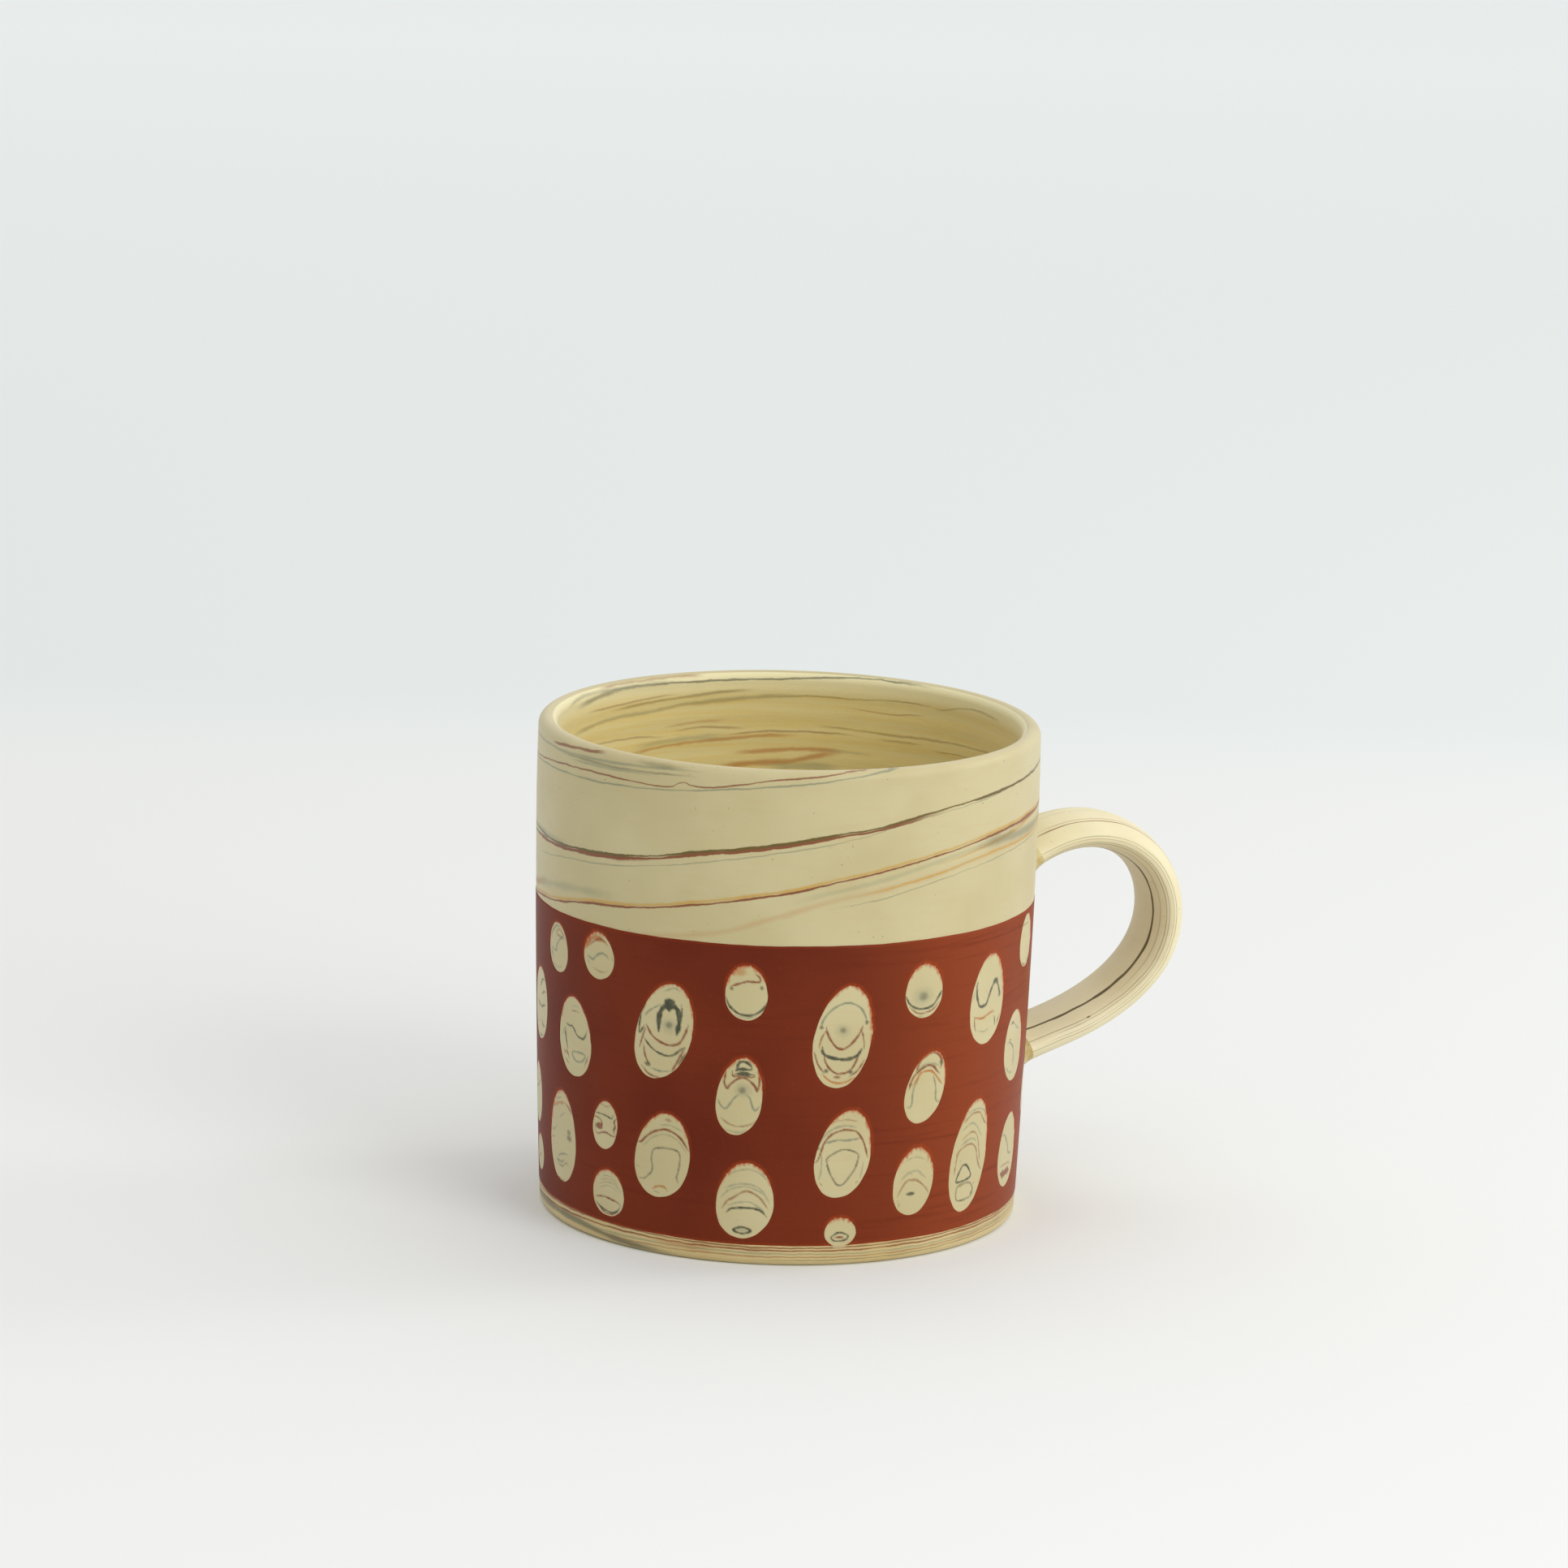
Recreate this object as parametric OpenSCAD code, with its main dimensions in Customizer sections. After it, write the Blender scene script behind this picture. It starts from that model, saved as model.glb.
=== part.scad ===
// Straight-sided stoneware mug, thrown from cream clay, with a slip band pierced by egg-shaped
// windows and one pulled strap handle. +Z is up, the handle points along +X and the origin is
// on the mug's axis, on the surface that it stands on.

/* [Mug wall] */
// Height from the resting face to the top of the lip
mug_height = 90; // [75:1:110]
// Largest outer radius, a little below the lip
belly_radius = 45.35; // [38:0.05:52]
// Height of that largest radius
belly_height = 78; // [65:1:80]
// How much the radius has shrunk at the base
base_taper = 2.1; // [0.5:0.1:4]
// Thickness of the thrown wall
wall_thickness = 3.4; // [2.5:0.1:5]
// Thickness of the floor inside
floor_thickness = 4.5; // [3.5:0.1:7]
// Radius of the rounded heel under the wall
heel_radius = 1.4; // [0.5:0.1:2.5]
// Radius of the corner between the wall and the floor inside
inner_corner = 5; // [2:0.5:10]

/* [Slip band] */
// Height of the band's lower edge
band_bottom = 4.4; // [3:0.1:8]
// Height of the band's upper edge
band_top = 58.3; // [50:0.1:60]
// Thickness of the slip, set flush into the wall
slip_thickness = 0.4; // [0.2:0.05:0.8]
// How much broader a window is below its middle than above it
egg_bias = 0.08; // [0:0.01:0.2]

/* [Handle] */
// Thickness of the strap
strap_thickness = 6.9; // [5:0.1:9]
// Width of the strap
strap_width = 17; // [12:0.5:20]
// Swelling of the strap where it meets the wall, as a share of its section
root_swell = 0.12; // [0:0.01:0.25]
// How far the luting stands round the strap at the wall
luting_spread = 2.4; // [1.5:0.1:3]

/* [Hidden] */
$fn = 180;

// Finish colours
cream_clay = [0.86, 0.81, 0.62];
red_slip = [0.55, 0.22, 0.14];
luting_clay = [0.80, 0.72, 0.50];

// The wall's curve, and how finely its arcs are cut
wall_power = 1.5;
wall_steps = 14;
arc_steps = 6;
lip_radius = wall_thickness / 2;
lip_height = mug_height - lip_radius;
// How far cutters reach past the surface that they cut
clearance = 2;

// Windows through the slip: angle round the mug, height of the middle, width, height, and how far
// the egg leans to the right for each unit of its height
side_windows = [
    [-191.6, 21.2, 8, 11.4, 0.08], [-189.9, 10.3, 7, 6.8, 0.05], [-186.9, 38.7, 10, 13.6, 0.08],
    [-173.4, 51.4, 7.7, 9, -0.03], [-172.1, 16.7, 10.3, 17.1, 0.02],
    [-166, 36.2, 10.5, 14.6, -0.03], [-156.7, 52.7, 7.9, 8.7, 0], [-154.5, 21.9, 6.4, 8.9, 0.08],
    [-153.6, 9.4, 8.1, 8.6, 0.03], [-137.7, 41.4, 11.3, 17.8, 0.21],
    [-137.8, 18.5, 11.3, 15.7, 0.12], [-119.1, 31, 8.3, 14.3, 0.1], [-118.1, 50, 7.7, 9.9, 0],
    [-117.4, 11.9, 10.6, 14, 0.06], [-95.7, 42.2, 10.6, 18.6, 0.12],
    [-94.7, 20.7, 10.3, 16.1, 0.14], [-94.7, 6.3, 6, 5.4, 0], [-76, 49.5, 8, 9.8, 0],
    [-76.4, 14.5, 8.7, 12.5, 0.1], [-74.3, 31.6, 8.5, 13.1, 0.2], [-58.7, 17.1, 10.4, 20.4, 0.15],
    [-55, 45.5, 10.4, 16.5, 0.07], [-39.9, 34.5, 9.4, 13.2, 0], [-39.5, 14.9, 9.2, 13.7, 0.06],
    [-34.8, 53, 8, 9.6, 0], [-24, 24, 6, 10, 0.1]
];
// The far side repeats one loose group of windows round the wall
group_angles = [-4, 36, 78, 120];
group_windows = [
    [0, 47.5, 10, 15, 0.1], [0, 11.5, 9, 11, 0.05], [20, 51.5, 7.5, 9, 0],
    [20, 35, 9.5, 15.5, 0.12], [20, 15.5, 10.5, 17, 0.15]
];
far_windows = [
    for (start = group_angles)
        for (w = group_windows)
            [start + w[0], w[1], w[2], w[3], w[4]]
];
// Bare clay that the slip leaves round the handle's lower root
root_window = [0, 27, 24.5, 16.5, 0];
windows = concat(side_windows, far_windows, [root_window]);
window_sides = 20;

// The strap's centre line, as four Bezier curves in the plane of radius and height
strap_curves = [
    [[42, 61.5], [46, 64], [51, 66.9], [57, 66.9]],
    [[57, 66.9], [66, 66.9], [73.2, 60], [73.2, 51]],
    [[73.2, 51], [73.2, 41], [64, 34.3], [54, 30.5]],
    [[54, 30.5], [50, 29], [46, 27.8], [41, 26.2]]
];
strap_end = len(strap_curves);
curve_steps = 10;
strap_sides = 24;
// Flattening of the strap's inner face, as a share of its thickness
inner_flat = 0.12;
// Length of each root's swelling and of its luting, in the strap's own parameter
swell_length = 0.9;
luting_length = 0.6;
// Least thickness of the luting at its thin edge
luting_edge = 0.25;

function wall_r(z) =
    belly_radius - base_taper * pow(abs(belly_height - z) / belly_height, wall_power);

function arc_points(centre, radius, from, to) = [
    for (i = [0:arc_steps])
        let (a = from + (to - from) * i / arc_steps)
            centre + radius * [cos(a), sin(a)]
];

function wall_points(low, high, inset) = [
    for (i = [0:wall_steps])
        let (z = low + (high - low) * i / wall_steps)
            [wall_r(z) - inset, z]
];

function reversed(points) = [for (i = [len(points) - 1:-1:0]) points[i]];

function outer_profile() = concat(
    [[0, 0]],
    arc_points([wall_r(heel_radius) - heel_radius, heel_radius], heel_radius, -90, 0),
    wall_points(heel_radius + 1, lip_height - 1, 0)
);

function lip_profile() =
    arc_points([wall_r(lip_height) - lip_radius, lip_height], lip_radius, 0, 180);

function inner_profile() =
    let (low = floor_thickness + inner_corner)
        concat(
            reversed(wall_points(low + 1, lip_height - 1, wall_thickness)),
            arc_points([wall_r(low) - wall_thickness - inner_corner, low], inner_corner, 0, -90),
            [[0, floor_thickness]]
        );

function egg_points(width, height, lean) = [
    for (i = [0:window_sides - 1])
        let (
            a = 360 * i / window_sides,
            x = width / 2 * cos(a) * (1 - egg_bias * sin(a)),
            y = height / 2 * sin(a)
        )
            [x + lean * y, y]
];

function bezier(p, t) =
    pow(1 - t, 3) * p[0] + 3 * pow(1 - t, 2) * t * p[1]
    + 3 * (1 - t) * pow(t, 2) * p[2] + pow(t, 3) * p[3];

function bezier_slope(p, t) =
    pow(1 - t, 2) * (p[1] - p[0]) + 2 * (1 - t) * t * (p[2] - p[1]) + pow(t, 2) * (p[3] - p[2]);

// A strap parameter runs from 0 at the upper root to strap_end at the lower one
function curve_at(u) = strap_curves[min(floor(u), strap_end - 1)];
function step_at(u) = u - min(floor(u), strap_end - 1);
function centre_at(u) = bezier(curve_at(u), step_at(u));
function outward_at(u) =
    let (d = bezier_slope(curve_at(u), step_at(u)))
        [d[1], -d[0]] / norm(d) * -1;

function root_distance(u) = min(u, strap_end - u);

function strap_swell(u) = 1 + root_swell * pow(max(0, 1 - root_distance(u) / swell_length), 2);

function luting_swell(u) =
    luting_edge + luting_spread * pow(max(0, 1 - root_distance(u) / luting_length), 1.6);

function strap_ring(u, extra) =
    let (
        c = centre_at(u),
        n = outward_at(u),
        half_t = strap_thickness / 2 * strap_swell(u) + extra,
        half_w = strap_width / 2 * strap_swell(u) + extra
    )
    [
        for (i = [0:strap_sides - 1])
            let (
                a = 360 * i / strap_sides,
                depth = half_t * cos(a) * (cos(a) < 0 ? 1 - inner_flat : 1)
            )
                [c[0] + n[0] * depth, half_w * sin(a), c[1] + n[1] * depth]
    ];

module swept_strap(from, to, steps, luted) {
    rings = [
        for (i = [0:steps])
            let (u = from + (to - from) * i / steps)
                strap_ring(u, luted ? luting_swell(u) : 0)
    ];
    points = [for (ring = rings) for (p = ring) p];
    last = steps * strap_sides;
    side_faces = [
        for (i = [0:steps - 1])
            for (j = [0:strap_sides - 1])
                let (a = i * strap_sides + j, b = i * strap_sides + (j + 1) % strap_sides)
                    each [
                        [a, b, b + strap_sides],
                        [a, b + strap_sides, a + strap_sides]
                    ]
    ];
    near_cap = [for (j = [strap_sides - 1:-1:0]) j];
    far_cap = [for (j = [0:strap_sides - 1]) last + j];
    polyhedron(points, concat([near_cap], side_faces, [far_cap]), convexity = 6);
}

module wall_core() {
    rotate_extrude()
        polygon(concat(
            outer_profile(),
            [[wall_r(lip_height), lip_height], [wall_r(lip_height), mug_height], [0, mug_height]]
        ));
}

module window_block(w) {
    rotate([0, 0, w[0]])
        translate([wall_r(w[1]) - clearance, 0, w[1]])
            rotate([90, 0, 90])
                linear_extrude(2 * clearance)
                    polygon(egg_points(w[2], w[3], w[4]));
}

module slip_ring(overhang) {
    difference() {
        rotate_extrude()
            polygon(concat(
                wall_points(band_bottom, band_top, slip_thickness),
                reversed(wall_points(band_bottom, band_top, -overhang))
            ));
        for (w = windows)
            window_block(w);
    }
}

module body() {
    color(cream_clay)
        difference() {
            rotate_extrude()
                polygon(concat(outer_profile(), lip_profile(), inner_profile()));
            slip_ring(clearance / 2);
        }
}

module red_slip_band() {
    color(red_slip)
        slip_ring(0);
}

module handle() {
    color(cream_clay)
        difference() {
            swept_strap(0, strap_end, strap_end * curve_steps, false);
            wall_core();
        }
}

module luting(from, to) {
    color(luting_clay)
        difference() {
            swept_strap(from, to, curve_steps, true);
            swept_strap(0, strap_end, strap_end * curve_steps, false);
            wall_core();
        }
}

module upper_luting() {
    luting(0, luting_length);
}

module lower_luting() {
    luting(strap_end - luting_length, strap_end);
}

body();
red_slip_band();
handle();
upper_luting();
lower_luting();
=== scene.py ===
"""A thrown stoneware mug of cream clay veined with oxides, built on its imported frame.

The wall is a turned form, the red slip band and the clay that shows through its windows are
drawn flat and wrapped round the wall, and the handle and its lutings are swept along one path.
Sizes in the dataclasses are in millimetres and angles in degrees; meshes are made in metres.

A place on the wall is (turn, height): turn 0 is opposite the handle, turns grow to the right as
seen from outside, and the handle is at 180 and -180.
"""

from __future__ import annotations

import logging
import math
from collections.abc import Callable, Sequence
from dataclasses import dataclass, field
from enum import Enum
from functools import partial
from typing import ClassVar

import bpy
import numpy as np
from mathutils import Matrix, Vector
from mathutils.geometry import delaunay_2d_cdt

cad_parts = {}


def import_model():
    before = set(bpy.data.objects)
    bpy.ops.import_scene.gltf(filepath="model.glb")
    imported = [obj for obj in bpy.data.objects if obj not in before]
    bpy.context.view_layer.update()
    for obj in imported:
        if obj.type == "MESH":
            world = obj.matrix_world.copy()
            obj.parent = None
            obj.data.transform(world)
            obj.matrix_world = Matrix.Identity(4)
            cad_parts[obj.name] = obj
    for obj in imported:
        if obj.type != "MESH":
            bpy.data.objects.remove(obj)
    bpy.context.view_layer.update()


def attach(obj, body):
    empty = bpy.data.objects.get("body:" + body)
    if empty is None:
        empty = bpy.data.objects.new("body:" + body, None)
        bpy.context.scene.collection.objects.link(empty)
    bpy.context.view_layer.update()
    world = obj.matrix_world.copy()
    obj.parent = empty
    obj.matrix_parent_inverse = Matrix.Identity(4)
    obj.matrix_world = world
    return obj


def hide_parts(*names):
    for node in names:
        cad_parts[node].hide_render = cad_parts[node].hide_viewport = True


MM = 0.001
# The side that the mug is seen from, in degrees round it from -y
VIEW_BEARING = -20.0
LOG = logging.getLogger("stoneware_mug")
Point = tuple[float, float]
Colour = tuple[float, float, float, float]
Array = np.ndarray
Socket = bpy.types.NodeSocket
Material = bpy.types.Material
Mesh = bpy.types.Mesh
Piece = bpy.types.Object


def tint(code: str) -> Colour:
    """Turns a six-digit display colour into linear red, green, blue and alpha.

    Args:
        code: The colour as rrggbb.

    Returns:
        The linear colour with alpha 1.
    """
    parts = [int(code[i : i + 2], 16) / 255 for i in (0, 2, 4)]
    low = [c / 12.92 if c <= 0.04045 else ((c + 0.055) / 1.055) ** 2.4 for c in parts]
    return (low[0], low[1], low[2], 1.0)


def smoothstep(low: float, high: float, values: Array) -> Array:
    """Rises smoothly from 0 at low to 1 at high.

    Args:
        low: Where the rise starts.
        high: Where it ends.
        values: The values to map.

    Returns:
        The mapped values.
    """
    share = np.clip((values - low) / (high - low), 0.0, 1.0)
    return share * share * (3 - 2 * share)


def wander(along: Array, seed: int, length: float) -> Array:
    """A smooth seeded wobble between about -1 and 1.

    Args:
        along: Where on the line it is read.
        seed: Which wobble.
        length: The length of its main wave.

    Returns:
        One value for each place.
    """
    rng = np.random.default_rng(seed)
    total = np.zeros_like(along, dtype=float)
    for octave, share in ((1.0, 0.6), (2.3, 0.3), (5.1, 0.2)):
        phase = rng.uniform(0, 2 * math.pi)
        total += share * np.sin(2 * math.pi * along * octave / length + phase)
    return total


# ---------------------------------------------------------------------------------------------
# Node trees


class Graph:
    """Short spellings for adding and joining the nodes of one tree."""

    def __init__(self, tree: bpy.types.NodeTree) -> None:
        """Works on this tree."""
        self.tree = tree

    def add(self, kind: str, **settings: object) -> bpy.types.Node:
        """Adds a node.

        Args:
            kind: The node's type name.
            settings: Its properties.

        Returns:
            The node.
        """
        node = self.tree.nodes.new(kind)
        for name, value in settings.items():
            setattr(node, name, value)
        return node

    def feed(self, socket: Socket, value: object) -> None:
        """Joins a socket to another one, or sets it to a plain value.

        Args:
            socket: The input to fill.
            value: A socket, a number, a colour or a vector; None leaves it alone.
        """
        if isinstance(value, Socket):
            self.tree.links.new(value, socket)
        elif value is not None:
            socket.default_value = value

    def math(self, operation: str, *values: object) -> Socket:
        """Adds a Math node.

        Args:
            operation: What it does.
            values: Its inputs in order.

        Returns:
            Its result.
        """
        node = self.add("ShaderNodeMath", operation=operation)
        for socket, value in zip(node.inputs, values):
            self.feed(socket, value)
        return node.outputs[0]

    def vector(self, operation: str, *values: object) -> Socket:
        """Adds a Vector Math node.

        Args:
            operation: What it does.
            values: Its inputs in order.

        Returns:
            Its vector result.
        """
        node = self.add("ShaderNodeVectorMath", operation=operation)
        for socket, value in zip(node.inputs, values):
            self.feed(socket, value)
        return node.outputs[0]

    def join(self, x: object, y: object, z: object) -> Socket:
        """Adds a Combine XYZ node and returns its vector."""
        node = self.add("ShaderNodeCombineXYZ")
        for socket, value in zip(node.inputs, (x, y, z)):
            self.feed(socket, value)
        return node.outputs[0]

    def split(self, vector: Socket) -> list[Socket]:
        """Adds a Separate XYZ node and returns its three numbers."""
        node = self.add("ShaderNodeSeparateXYZ")
        self.feed(node.inputs[0], vector)
        return list(node.outputs)

    def remap(
        self,
        value: object,
        low: object,
        high: object,
        to_low: object = 0.0,
        to_high: object = 1.0,
        smooth: bool = True,
    ) -> Socket:
        """Adds a clamped Map Range node.

        Args:
            value: The number to map.
            low: Where it starts.
            high: Where it ends.
            to_low: What low becomes.
            to_high: What high becomes.
            smooth: Whether the rise is smooth or straight.

        Returns:
            The mapped number.
        """
        kind = "SMOOTHSTEP" if smooth else "LINEAR"
        node = self.add("ShaderNodeMapRange", interpolation_type=kind)
        for socket, given in zip(node.inputs, (value, low, high, to_low, to_high)):
            self.feed(socket, given)
        return node.outputs[0]


class Shader(Graph):
    """A material's node tree with the helpers that its colour needs."""

    def __init__(self, name: str) -> None:
        """Starts a material with a Principled shader in it."""
        self.material = bpy.data.materials.new(name)
        self.material.use_nodes = True
        super().__init__(self.material.node_tree)
        self.surface = self.tree.nodes["Principled BSDF"]

    def mix(self, share: object, low: object, high: object) -> Socket:
        """Mixes two colours.

        Args:
            share: How much of the second one.
            low: The first colour.
            high: The second colour.

        Returns:
            The mixed colour.
        """
        node = self.add("ShaderNodeMix", data_type="RGBA")
        for index, value in ((0, share), (6, low), (7, high)):
            self.feed(node.inputs[index], value)
        return node.outputs[2]

    def noise(self, place: Socket, scale: float, detail: float = 2.0, rough: float = 0.5) -> Socket:
        """Adds noise around 0.5.

        Args:
            place: Where it is read.
            scale: Waves to the metre.
            detail: Octaves.
            rough: How strong each finer octave is.

        Returns:
            The noise value.
        """
        node = self.add("ShaderNodeTexNoise")
        self.feed(node.inputs["Vector"], place)
        node.inputs["Scale"].default_value = scale
        node.inputs["Detail"].default_value = detail
        node.inputs["Roughness"].default_value = rough
        return node.outputs["Fac"]

    def place(self, stretch: tuple[float, float, float] = (1, 1, 1)) -> Socket:
        """Object coordinates, stretched for streaks.

        Args:
            stretch: The factor on each axis.

        Returns:
            The coordinates in metres.
        """
        spot = self.add("ShaderNodeTexCoord").outputs["Object"]
        return self.vector("MULTIPLY", spot, stretch)

    def own(self, name: str) -> Socket:
        """Reads one of the piece's own attributes as a number."""
        return self.add("ShaderNodeAttribute", attribute_name=name).outputs["Fac"]

    def polar(self) -> tuple[Socket, Socket, Socket]:
        """Turn in degrees, height and distance from the axis in millimetres.

        Returns:
            The three numbers.
        """
        x, y, z = self.split(self.place())
        turn = self.math("ARCTAN2", self.math("MULTIPLY", y, -1), self.math("MULTIPLY", x, -1))
        far = self.math("SQRT", self.math("ADD", self.math("POWER", x, 2), self.math("POWER", y, 2)))
        scaled = [self.math("MULTIPLY", v, 1 / MM) for v in (z, far)]
        return self.math("MULTIPLY", turn, 180 / math.pi), scaled[0], scaled[1]

    def bump(self, height: Socket, depth: float) -> None:
        """Gives the surface a fine relief.

        Args:
            height: The relief from 0 to 1.
            depth: Its depth in millimetres.
        """
        node = self.add("ShaderNodeBump")
        node.inputs["Strength"].default_value = 1.0
        node.inputs["Distance"].default_value = depth * MM
        self.feed(node.inputs["Height"], height)
        self.feed(self.surface.inputs["Normal"], node.outputs[0])

    def finish(self, colour: object, rough: object, **numbers: float) -> Material:
        """Fills in the surface.

        Args:
            colour: The base colour.
            rough: The roughness.
            numbers: Other inputs of the surface, with spaces written as underscores.

        Returns:
            The material.
        """
        self.feed(self.surface.inputs["Base Color"], colour)
        self.feed(self.surface.inputs["Roughness"], rough)
        for name, value in numbers.items():
            self.surface.inputs[name.replace("_", " ")].default_value = value
        return self.material


class Form(Graph):
    """A Geometry Nodes tree that is built once and run on plain meshes."""

    def __init__(self, name: str) -> None:
        """Starts a tree with a geometry coming in and one going out."""
        tree = bpy.data.node_groups.new(name, "GeometryNodeTree")
        super().__init__(tree)
        for direction in ("INPUT", "OUTPUT"):
            tree.interface.new_socket(
                "Geometry", in_out=direction, socket_type="NodeSocketGeometry"
            )
        self.start = self.add("NodeGroupInput")
        self.end = self.add("NodeGroupOutput")
        self.keys: dict[str, str] = {}
        self.finish = self.given("Finish", "Material")

    def given(self, name: str, kind: str = "Float") -> Socket:
        """Adds a named input to the tree.

        Args:
            name: Its name.
            kind: Its socket type.

        Returns:
            The socket that carries it.
        """
        item = self.tree.interface.new_socket(
            name, in_out="INPUT", socket_type=f"NodeSocket{kind}"
        )
        self.keys[name] = item.identifier
        return next(s for s in self.start.outputs if s.identifier == item.identifier)

    def read(self, name: str, kind: str = "FLOAT") -> Socket:
        """Reads a named attribute of the geometry."""
        node = self.add("GeometryNodeInputNamedAttribute", data_type=kind)
        node.inputs["Name"].default_value = name
        return node.outputs["Attribute"]

    def pick(self, geometry: Socket, value: Socket, index: Socket, kind: str = "FLOAT") -> Socket:
        """Reads a value at one point of another geometry.

        Args:
            geometry: Where it is read.
            value: What is read.
            index: The point's number.
            kind: The value's data type.

        Returns:
            The value.
        """
        node = self.add("GeometryNodeSampleIndex", data_type=kind, domain="POINT", clamp=True)
        self.feed(node.inputs["Geometry"], geometry)
        self.feed(node.inputs["Value"], value)
        self.feed(node.inputs["Index"], index)
        return node.outputs["Value"]

    def store(self, geometry: Socket, name: str, value: Socket) -> Socket:
        """Keeps a number on every point.

        Args:
            geometry: The geometry it is kept on.
            name: The attribute's name.
            value: The number.

        Returns:
            The geometry that carries it.
        """
        node = self.add("GeometryNodeStoreNamedAttribute", data_type="FLOAT", domain="POINT")
        node.inputs["Name"].default_value = name
        self.feed(node.inputs["Geometry"], geometry)
        self.feed(node.inputs["Value"], value)
        return node.outputs["Geometry"]

    def lattice(self, rings: Socket, sides: Socket) -> tuple[Socket, Socket, Socket]:
        """A sheet of points, sides + 1 of them to each ring.

        Args:
            rings: How many rings.
            sides: How many faces to a ring.

        Returns:
            The mesh, each point's ring number and its share of the way round.
        """
        columns = self.math("ADD", sides, 1.0)
        grid = self.add("GeometryNodeMeshGrid")
        self.feed(grid.inputs["Vertices X"], rings)
        self.feed(grid.inputs["Vertices Y"], columns)
        index = self.add("GeometryNodeInputIndex").outputs[0]
        ring = self.math("FLOOR", self.math("DIVIDE", self.math("ADD", index, 0.5), columns))
        step = self.math("SUBTRACT", index, self.math("MULTIPLY", ring, columns))
        return grid.outputs["Mesh"], ring, self.math("DIVIDE", step, sides)

    def move(self, geometry: Socket, position: Socket) -> Socket:
        """Sets every point's position and returns the geometry."""
        node = self.add("GeometryNodeSetPosition")
        self.feed(node.inputs["Geometry"], geometry)
        self.feed(node.inputs["Position"], position)
        return node.outputs["Geometry"]

    def weld(self, geometry: Socket) -> Socket:
        """Joins the points of seams and poles and returns the geometry."""
        node = self.add("GeometryNodeMergeByDistance")
        self.feed(node.inputs["Geometry"], geometry)
        node.inputs["Distance"].default_value = 0.005 * MM
        return node.outputs["Geometry"]

    def close(self, geometry: Socket) -> None:
        """Ends the tree: real geometry, smooth, with its material."""
        smooth = self.add("GeometryNodeSetShadeSmooth")
        self.feed(smooth.inputs["Geometry"], geometry)
        real = self.add("GeometryNodeRealizeInstances")
        self.feed(real.inputs["Geometry"], smooth.outputs["Geometry"])
        dress = self.add("GeometryNodeSetMaterial")
        self.feed(dress.inputs["Geometry"], real.outputs["Geometry"])
        self.feed(dress.inputs["Material"], self.finish)
        self.feed(self.end.inputs[0], dress.outputs["Geometry"])

    def run(self, name: str, mesh: Mesh, finish: Material, **values: float) -> Piece:
        """Runs the tree on a mesh and keeps the result as a plain object.

        Args:
            name: The piece's name.
            mesh: The mesh that goes in.
            finish: The material.
            values: The other inputs, with spaces written as underscores.

        Returns:
            The finished object at the origin.
        """
        piece = bpy.data.objects.new(name, mesh)
        bpy.context.scene.collection.objects.link(piece)
        modifier = piece.modifiers.new("form", "NODES")
        modifier.node_group = self.tree
        modifier[self.keys["Finish"]] = finish
        for key, value in values.items():
            modifier[self.keys[key.replace("_", " ")]] = value
        deps = bpy.context.evaluated_depsgraph_get()
        made = bpy.data.meshes.new_from_object(
            piece.evaluated_get(deps), preserve_all_data_layers=True, depsgraph=deps
        )
        piece.modifiers.clear()
        piece.data = made
        made.name = name
        return piece


def feed_mesh(name: str, points: Array, faces: Sequence[Sequence[int]] = (), **numbers: Array) -> Mesh:
    """A mesh that goes into a node tree, with its points' numbers and vectors.

    Args:
        name: The mesh's name.
        points: Positions in metres.
        faces: Its faces, if it isn't only loose points.
        numbers: A number or a vector for each point, by attribute name.

    Returns:
        The mesh.
    """
    mesh = bpy.data.meshes.new(name)
    mesh.from_pydata(points.tolist(), [], faces)
    for key, values in numbers.items():
        kind, slot = ("FLOAT", "value") if values.ndim == 1 else ("FLOAT_VECTOR", "vector")
        layer = mesh.attributes.new(key, kind, "POINT")
        layer.data.foreach_set(slot, values.astype(np.float32).ravel())
    return mesh


# ---------------------------------------------------------------------------------------------
# The wall and the forms that follow it


@dataclass(frozen=True)
class WallCurve:
    """The outside curve of the thrown wall."""

    belly_radius: float = 45.35
    belly_height: float = 78.0
    base_taper: float = 2.1
    power: float = 1.5
    arc_radius: float = 45.0

    def radius(self, height: float) -> float:
        """The outside radius at a height."""
        share = abs(self.belly_height - height) / self.belly_height
        return self.belly_radius - self.base_taper * share**self.power

    def arc(self, turn: float) -> float:
        """How far a turn is along the flat drawing of the wall."""
        return math.radians(turn) * self.arc_radius

    def radius_nodes(self, graph: Graph, height: Socket) -> Socket:
        """The same curve in nodes.

        Args:
            graph: The tree it is built in.
            height: The height in millimetres.

        Returns:
            The radius in millimetres.
        """
        gap = graph.math("ABSOLUTE", graph.math("SUBTRACT", self.belly_height, height))
        share = graph.math("POWER", graph.math("DIVIDE", gap, self.belly_height), self.power)
        taper = graph.math("MULTIPLY", share, self.base_taper)
        return graph.math("SUBTRACT", self.belly_radius, taper)


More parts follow.
